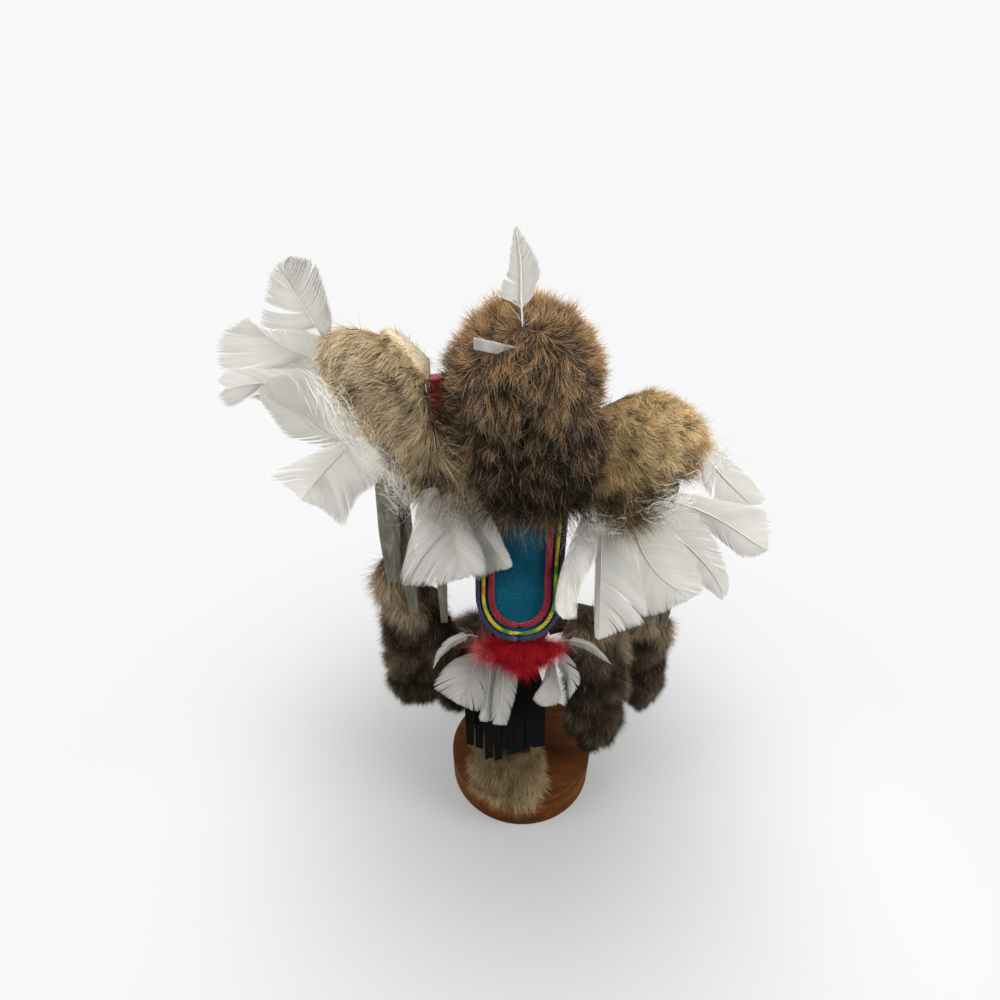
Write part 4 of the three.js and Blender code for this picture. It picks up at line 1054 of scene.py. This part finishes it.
tealFelt = makeMaterial("tealFelt", feltPaint, {"Roughness": 0.95, "Specular IOR Level": 0.05, "Sheen Weight": 0.05})
yarnMaterials = {
    "red_ribbon": yarnMaterial(
        "redRibbon", (0.3, (0.16, 0.004, 0.012)), (0.6, (0.33, 0.010, 0.03)), (0.8, (0.45, 0.03, 0.06))),
    "yellow_yarn": yarnMaterial(
        "yellowYarn", (0.38, (0.10, 0.18, 0.02)), (0.46, (0.42, 0.42, 0.02)), (0.55, (0.62, 0.48, 0.02)),
        (0.64, (0.50, 0.16, 0.015))),
    "edge_yarn": yarnMaterial(
        "edgeYarn", (0.36, (0.010, 0.035, 0.07)), (0.5, (0.02, 0.03, 0.10)), (0.6, (0.10, 0.02, 0.09)),
        (0.72, (0.02, 0.09, 0.10))),
}
yarnGrowth = twistTree()
for key, panel in panels.items():
    felt = newObject(key + "Felt", slabMesh(key + "Felt", [panelGrid(panel)], feltThick, True))
    place(felt, key + "_panel", "teal_felt", tealFelt)
    for trim, look in trims.items():
        name = pieceName(key + "_" + trim)
        line = trimLine(panel, look["inset"], feltThick / 2 + look["height"] + 0.25)
        yarn = grown(name, lineMesh(name, line), yarnGrowth, {
            "Material": yarnMaterials[trim], "Plies": look["plies"], "Ply Radius": look["radius"] * mm,
            "Spread": look["spread"] * mm, "Turns": look["turns"]})
        place(yarn, key + "_panel_" + trim, trim)
    down = np.linspace(panel["top"], panel["foot"], 200)
    dropLine = np.stack([down, panelDepth(panel, panel["middle"], down)], axis=1)
    across = np.linspace(-panel["half"], panel["half"], 60)
    widthAt = np.full(60, panel["top"] - 20.0)
    acrossLine = np.stack([across, panelDepth(panel, panel["middle"] + across, widthAt)], axis=1)
print("panels dressed")


# Suede, leather and cloth
def hideMaterial(name, grain, stretch, fixed, *stops):
    def paint(w):
        fibre = noiseAt(w, objectPlace(w, stretch), grain, 4.0, 0.7)
        return {"Base Color": fibre.ramp(*stops), "Normal": bumped(w, fibre, 0.5, 0.0006)}
    return makeMaterial(name, paint, fixed)


suede = (700.0, (1, 1, 0.5), {"Roughness": 0.95, "Specular IOR Level": 0.1})
blackSuede = hideMaterial("blackSuede", *suede, (0.3, (0.002, 0.002, 0.002)), (0.7, (0.007, 0.006, 0.006)))
redSuede = hideMaterial("redSuede", *suede, (0.3, (0.05, 0.003, 0.007)), (0.7, (0.12, 0.009, 0.016)))
oliveLeather = hideMaterial("oliveLeather", 420.0, (1, 1, 0.12), {"Roughness": 0.8}, (0.25, (0.05, 0.05, 0.034)),
                            (0.5, (0.14, 0.135, 0.095)), (0.75, (0.27, 0.255, 0.19)))
place(newObject("hipSash", smoothCopy("hip_sash", 0.8, 2)), "hip_sash", "red_suede", redSuede)
fringe = {
    "right": -8.5, "pitch": 5.2, "top": 126.0, "cut": 88.0, "drawn": 0.62, "thick": 1.2, "lowest": 56.0,
    "fall": [38.5, 34.5, 29.5, 24.5, 20, 17, 15.2, 15], "ends": [65, 59.5, 62, 65.5, 57.5, 59, 64, 66],
    "redStrip": 1, "taper": 0.3,
}


def fringeDepth(x, z):
    fall = evenCurve([(k / 7, v) for k, v in enumerate(fringe["fall"])], 200)[0]
    rise = np.clip((z - fringe["lowest"]) / (fringe["top"] - fringe["lowest"]), 0, 1)
    return np.interp(rise, fall[:, 0], fall[:, 1]) + 0.6 - 0.003 * (x - 8) ** 2


def stripShape(left, right, top, end, lift, twist, taper, rows=18, columns=5):  # one strip as a closed slab
    v = np.linspace(0, 1, rows)[:, None]
    u = np.linspace(0, 1, columns)[None]
    z = top + (end - top) * v + 0 * u
    middle = fringe["right"] + fringe["pitch"] * 4
    drawn = 1 - (1 - fringe["drawn"]) * smooth(z, fringe["cut"], fringe["top"])
    narrow = (left + right) / 2 + (right - left) * (u - 0.5) * (1 - taper * smooth(z, fringe["cut"], end))
    x = middle + (narrow - middle) * drawn
    y = fringeDepth(x, z) + lift + twist * (u - 0.5) * v ** 2
    z = z + 0.6 * np.sin(u * 7 + left) * v ** 6
    return np.stack([x, y, z], axis=2)


blackStrips, redStrips = [], []
rand = np.random.default_rng(8)
for k, end in enumerate(fringe["ends"]):
    left = fringe["right"] + k * fringe["pitch"]
    near = abs(k - fringe["redStrip"]) == 1
    wider = 2.8 if near else 0.35
    if k == fringe["redStrip"]:
        redStrips.append(stripShape(left + 0.3, left + fringe["pitch"] - 0.3, 70.0, end, -2.6, 0.8, 0.0))
    else:
        blackStrips.append(stripShape(left - wider, left + fringe["pitch"] + wider, fringe["top"], end,
                                      0.7 if k % 2 else -0.1, rand.uniform(-2.5, 2.5), 0.0 if near else fringe["taper"]))
for name, node, slot, material, strips in [
        ("blackFringe", "fringe_black", "black_suede", blackSuede, blackStrips),
        ("redFringe", "fringe_red_strip", "red_suede", redSuede, redStrips)]:
    place(newObject(name, slabMesh(name, strips, fringe["thick"])), node, slot, material)
thongs = {  # how far each runs up under its pelt, how far it leans there, and its width against the solid's
    "left": [(17.0, 0.0, 1.45), (18.0, 3.5, 1.0), (15.0, 0.0, 0.75)],
    "right": [(6.0, 11.0, 1.0), (12.0, 4.0, 1.0), (14.0, 1.0, 1.0)],
}
thongLook = {"voxel": 0.62, "relaxed": 2, "footWidth": 0.7, "taperEnd": 0.4}
for side, straps in thongs.items():
    for k, (rise, lean, wide) in enumerate(straps, 1):
        node = f"{side}_thong_{k}"
        strap = smoothCopy(node, thongLook["voxel"], thongLook["relaxed"])
        points = vectorsOf(strap, "co")
        x, z = points[:, 0], points[:, 2]
        share = np.clip((z - z.min()) / (z.max() - z.min()), 0, 1)
        middle = (x.min() + x.max()) / 2
        narrow = thongLook["footWidth"] + (1 - thongLook["footWidth"]) * smooth(share, 0, thongLook["taperEnd"])
        points[:, 0] = middle + (x - middle) * wide * narrow + lean * mm * share ** 2
        points[:, 2] += rise * mm * share
        strap.vertices.foreach_set("co", points.astype(np.float32).ravel())
        place(newObject(pieceName(node), strap), node, "olive_leather", oliveLeather)
print("leather cut")


# Carved and painted wood
def paintMaterial(name, dark, light, rough, scale=60.0):
    def paint(w):
        worn = noiseAt(w, objectPlace(w, (1, 1, 0.4)), scale, 4.0)
        fine = noiseAt(w, objectPlace(w), 900.0, 3.0)
        return {"Base Color": worn.ramp((0.3, dark), (0.7, light)), "Normal": bumped(w, fine, 0.15, 0.0004)}
    return makeMaterial(name, paint, {"Roughness": rough})


bodyPaint = paintMaterial("bodyPaint", (0.045, 0.022, 0.014), (0.075, 0.036, 0.022), 0.6)
maskPaint = paintMaterial("maskPaint", (0.62, 0.58, 0.50), (0.74, 0.70, 0.62), 0.6)
beakPaint = paintMaterial("beakPaint", (0.55, 0.28, 0.02), (0.68, 0.38, 0.04), 0.45)
eyePaint = paintMaterial("eyePaint", (0.008, 0.008, 0.008), (0.016, 0.015, 0.014), 0.25)
earPaint = paintMaterial("earPaint", (0.42, 0.012, 0.022), (0.55, 0.025, 0.04), 0.5)
quillPaint = paintMaterial("quillPaint", (0.34, 0.33, 0.31), (0.52, 0.51, 0.48), 0.5, 300.0)
carvings = [  # the smoothed copy's voxel in mm and how often it is relaxed come last
    ("carvedTorso", "torso", "painted_wood", bodyPaint, 1.5, 6),
    ("leftLeg", "left_leg", "painted_wood", bodyPaint, 1.3, 6),
    ("rightLeg", "right_leg", "painted_wood", bodyPaint, 1.3, 6),
    ("leftArm", "left_arm", "painted_wood", bodyPaint, 1.1, 5),
    ("rightArm", "right_arm", "painted_wood", bodyPaint, 1.1, 5),
    ("maskHead", "head", "mask_paint", maskPaint, 1.2, 6),
    ("maskBeak", "beak", "beak_paint", beakPaint, 0.65, 4),
    ("leftEye", "left_eye", "eye_paint", eyePaint, 0.3, 4),
    ("rightEye", "right_eye", "eye_paint", eyePaint, 0.3, 4),
    ("leftEar", "left_ear", "ear_paint", earPaint, 0.7, 2),
    ("rightEar", "right_ear", "ear_paint", earPaint, 0.7, 2),
    ("crownQuill", "crown_quill", "white_feather", quillPaint, 0.3, 2),
]
for name, node, slot, material, voxel, relaxed in carvings:
    place(newObject(name, smoothCopy(node, voxel, relaxed)), node, slot, material)

baseLook = {
    "radius": 45.0, "height": 22.0, "edge": 2.4, "foot": 0.8, "segments": 160, "edgeSteps": 6,
    "topShade": (0.0195, 0.0218), "rimAcross": (0.0435, 0.0447), "rimUp": (0.017, 0.0205),
}


def lacquerPaint(w):
    x, y, z = objectPlace(w).axes()
    square = x * x + y * y
    away = square.maths("SQRT", square)
    grain = noiseAt(w, objectPlace(w, (1, 6, 6), (0, 0.1, 0.35)), 55.0, 5.0, 0.6)
    rings = noiseAt(w, objectPlace(w, (0.5, 3.2, 3.2), (0, 0, 0.35)), 30.0, 2.0) * 34.0
    rings = rings.maths("SINE", rings) * 0.5 + 0.5
    wood = (grain * 0.72 + rings * 0.1).ramp(
        (0.25, (0.085, 0.022, 0.001)), (0.5, (0.22, 0.062, 0.002)), (0.7, (0.46, 0.15, 0.006)))
    # Painted shade and a painted reflection of the dark fur above it: the top is painted darker; the rounded edge is
    # darker still.
    rim = away.between(*baseLook["rimAcross"]) * z.between(*baseLook["rimUp"])
    dark = w.mix(z.between(*baseLook["topShade"]) * 0.8, wood, flat((0.055, 0.022, 0.010)))
    return {"Base Color": w.mix(rim * 0.55, dark, flat((0.05, 0.018, 0.009))), "Normal": bumped(w, grain, 0.08, 0.0005)}


lacquer = makeMaterial("lacquer", lacquerPaint, {
    "Roughness": 0.45, "Specular IOR Level": 0.04, "Coat Weight": 0.02, "Coat Roughness": 0.15})
radius, height, edge = baseLook["radius"], baseLook["height"], baseLook["edge"]
profile = [(radius - baseLook["foot"], 0.0), (radius, baseLook["foot"])]
for step in range(baseLook["edgeSteps"] + 1):
    angle = math.pi / 2 * step / baseLook["edgeSteps"]
    profile.append((radius - edge * (1 - math.cos(angle)), height - edge * (1 - math.sin(angle))))
angles = roundAngles(baseLook["segments"])
rings = np.array([[(r * math.cos(a), r * math.sin(a), z) for a in angles] for r, z in profile])
place(newObject("turnedBase", ringMesh("turnedBase", rings)), "base_disc", "lacquered_wood", lacquer)
print("wood painted")

bpy.context.view_layer.update()
drop(longHair)
drop(shortHair)
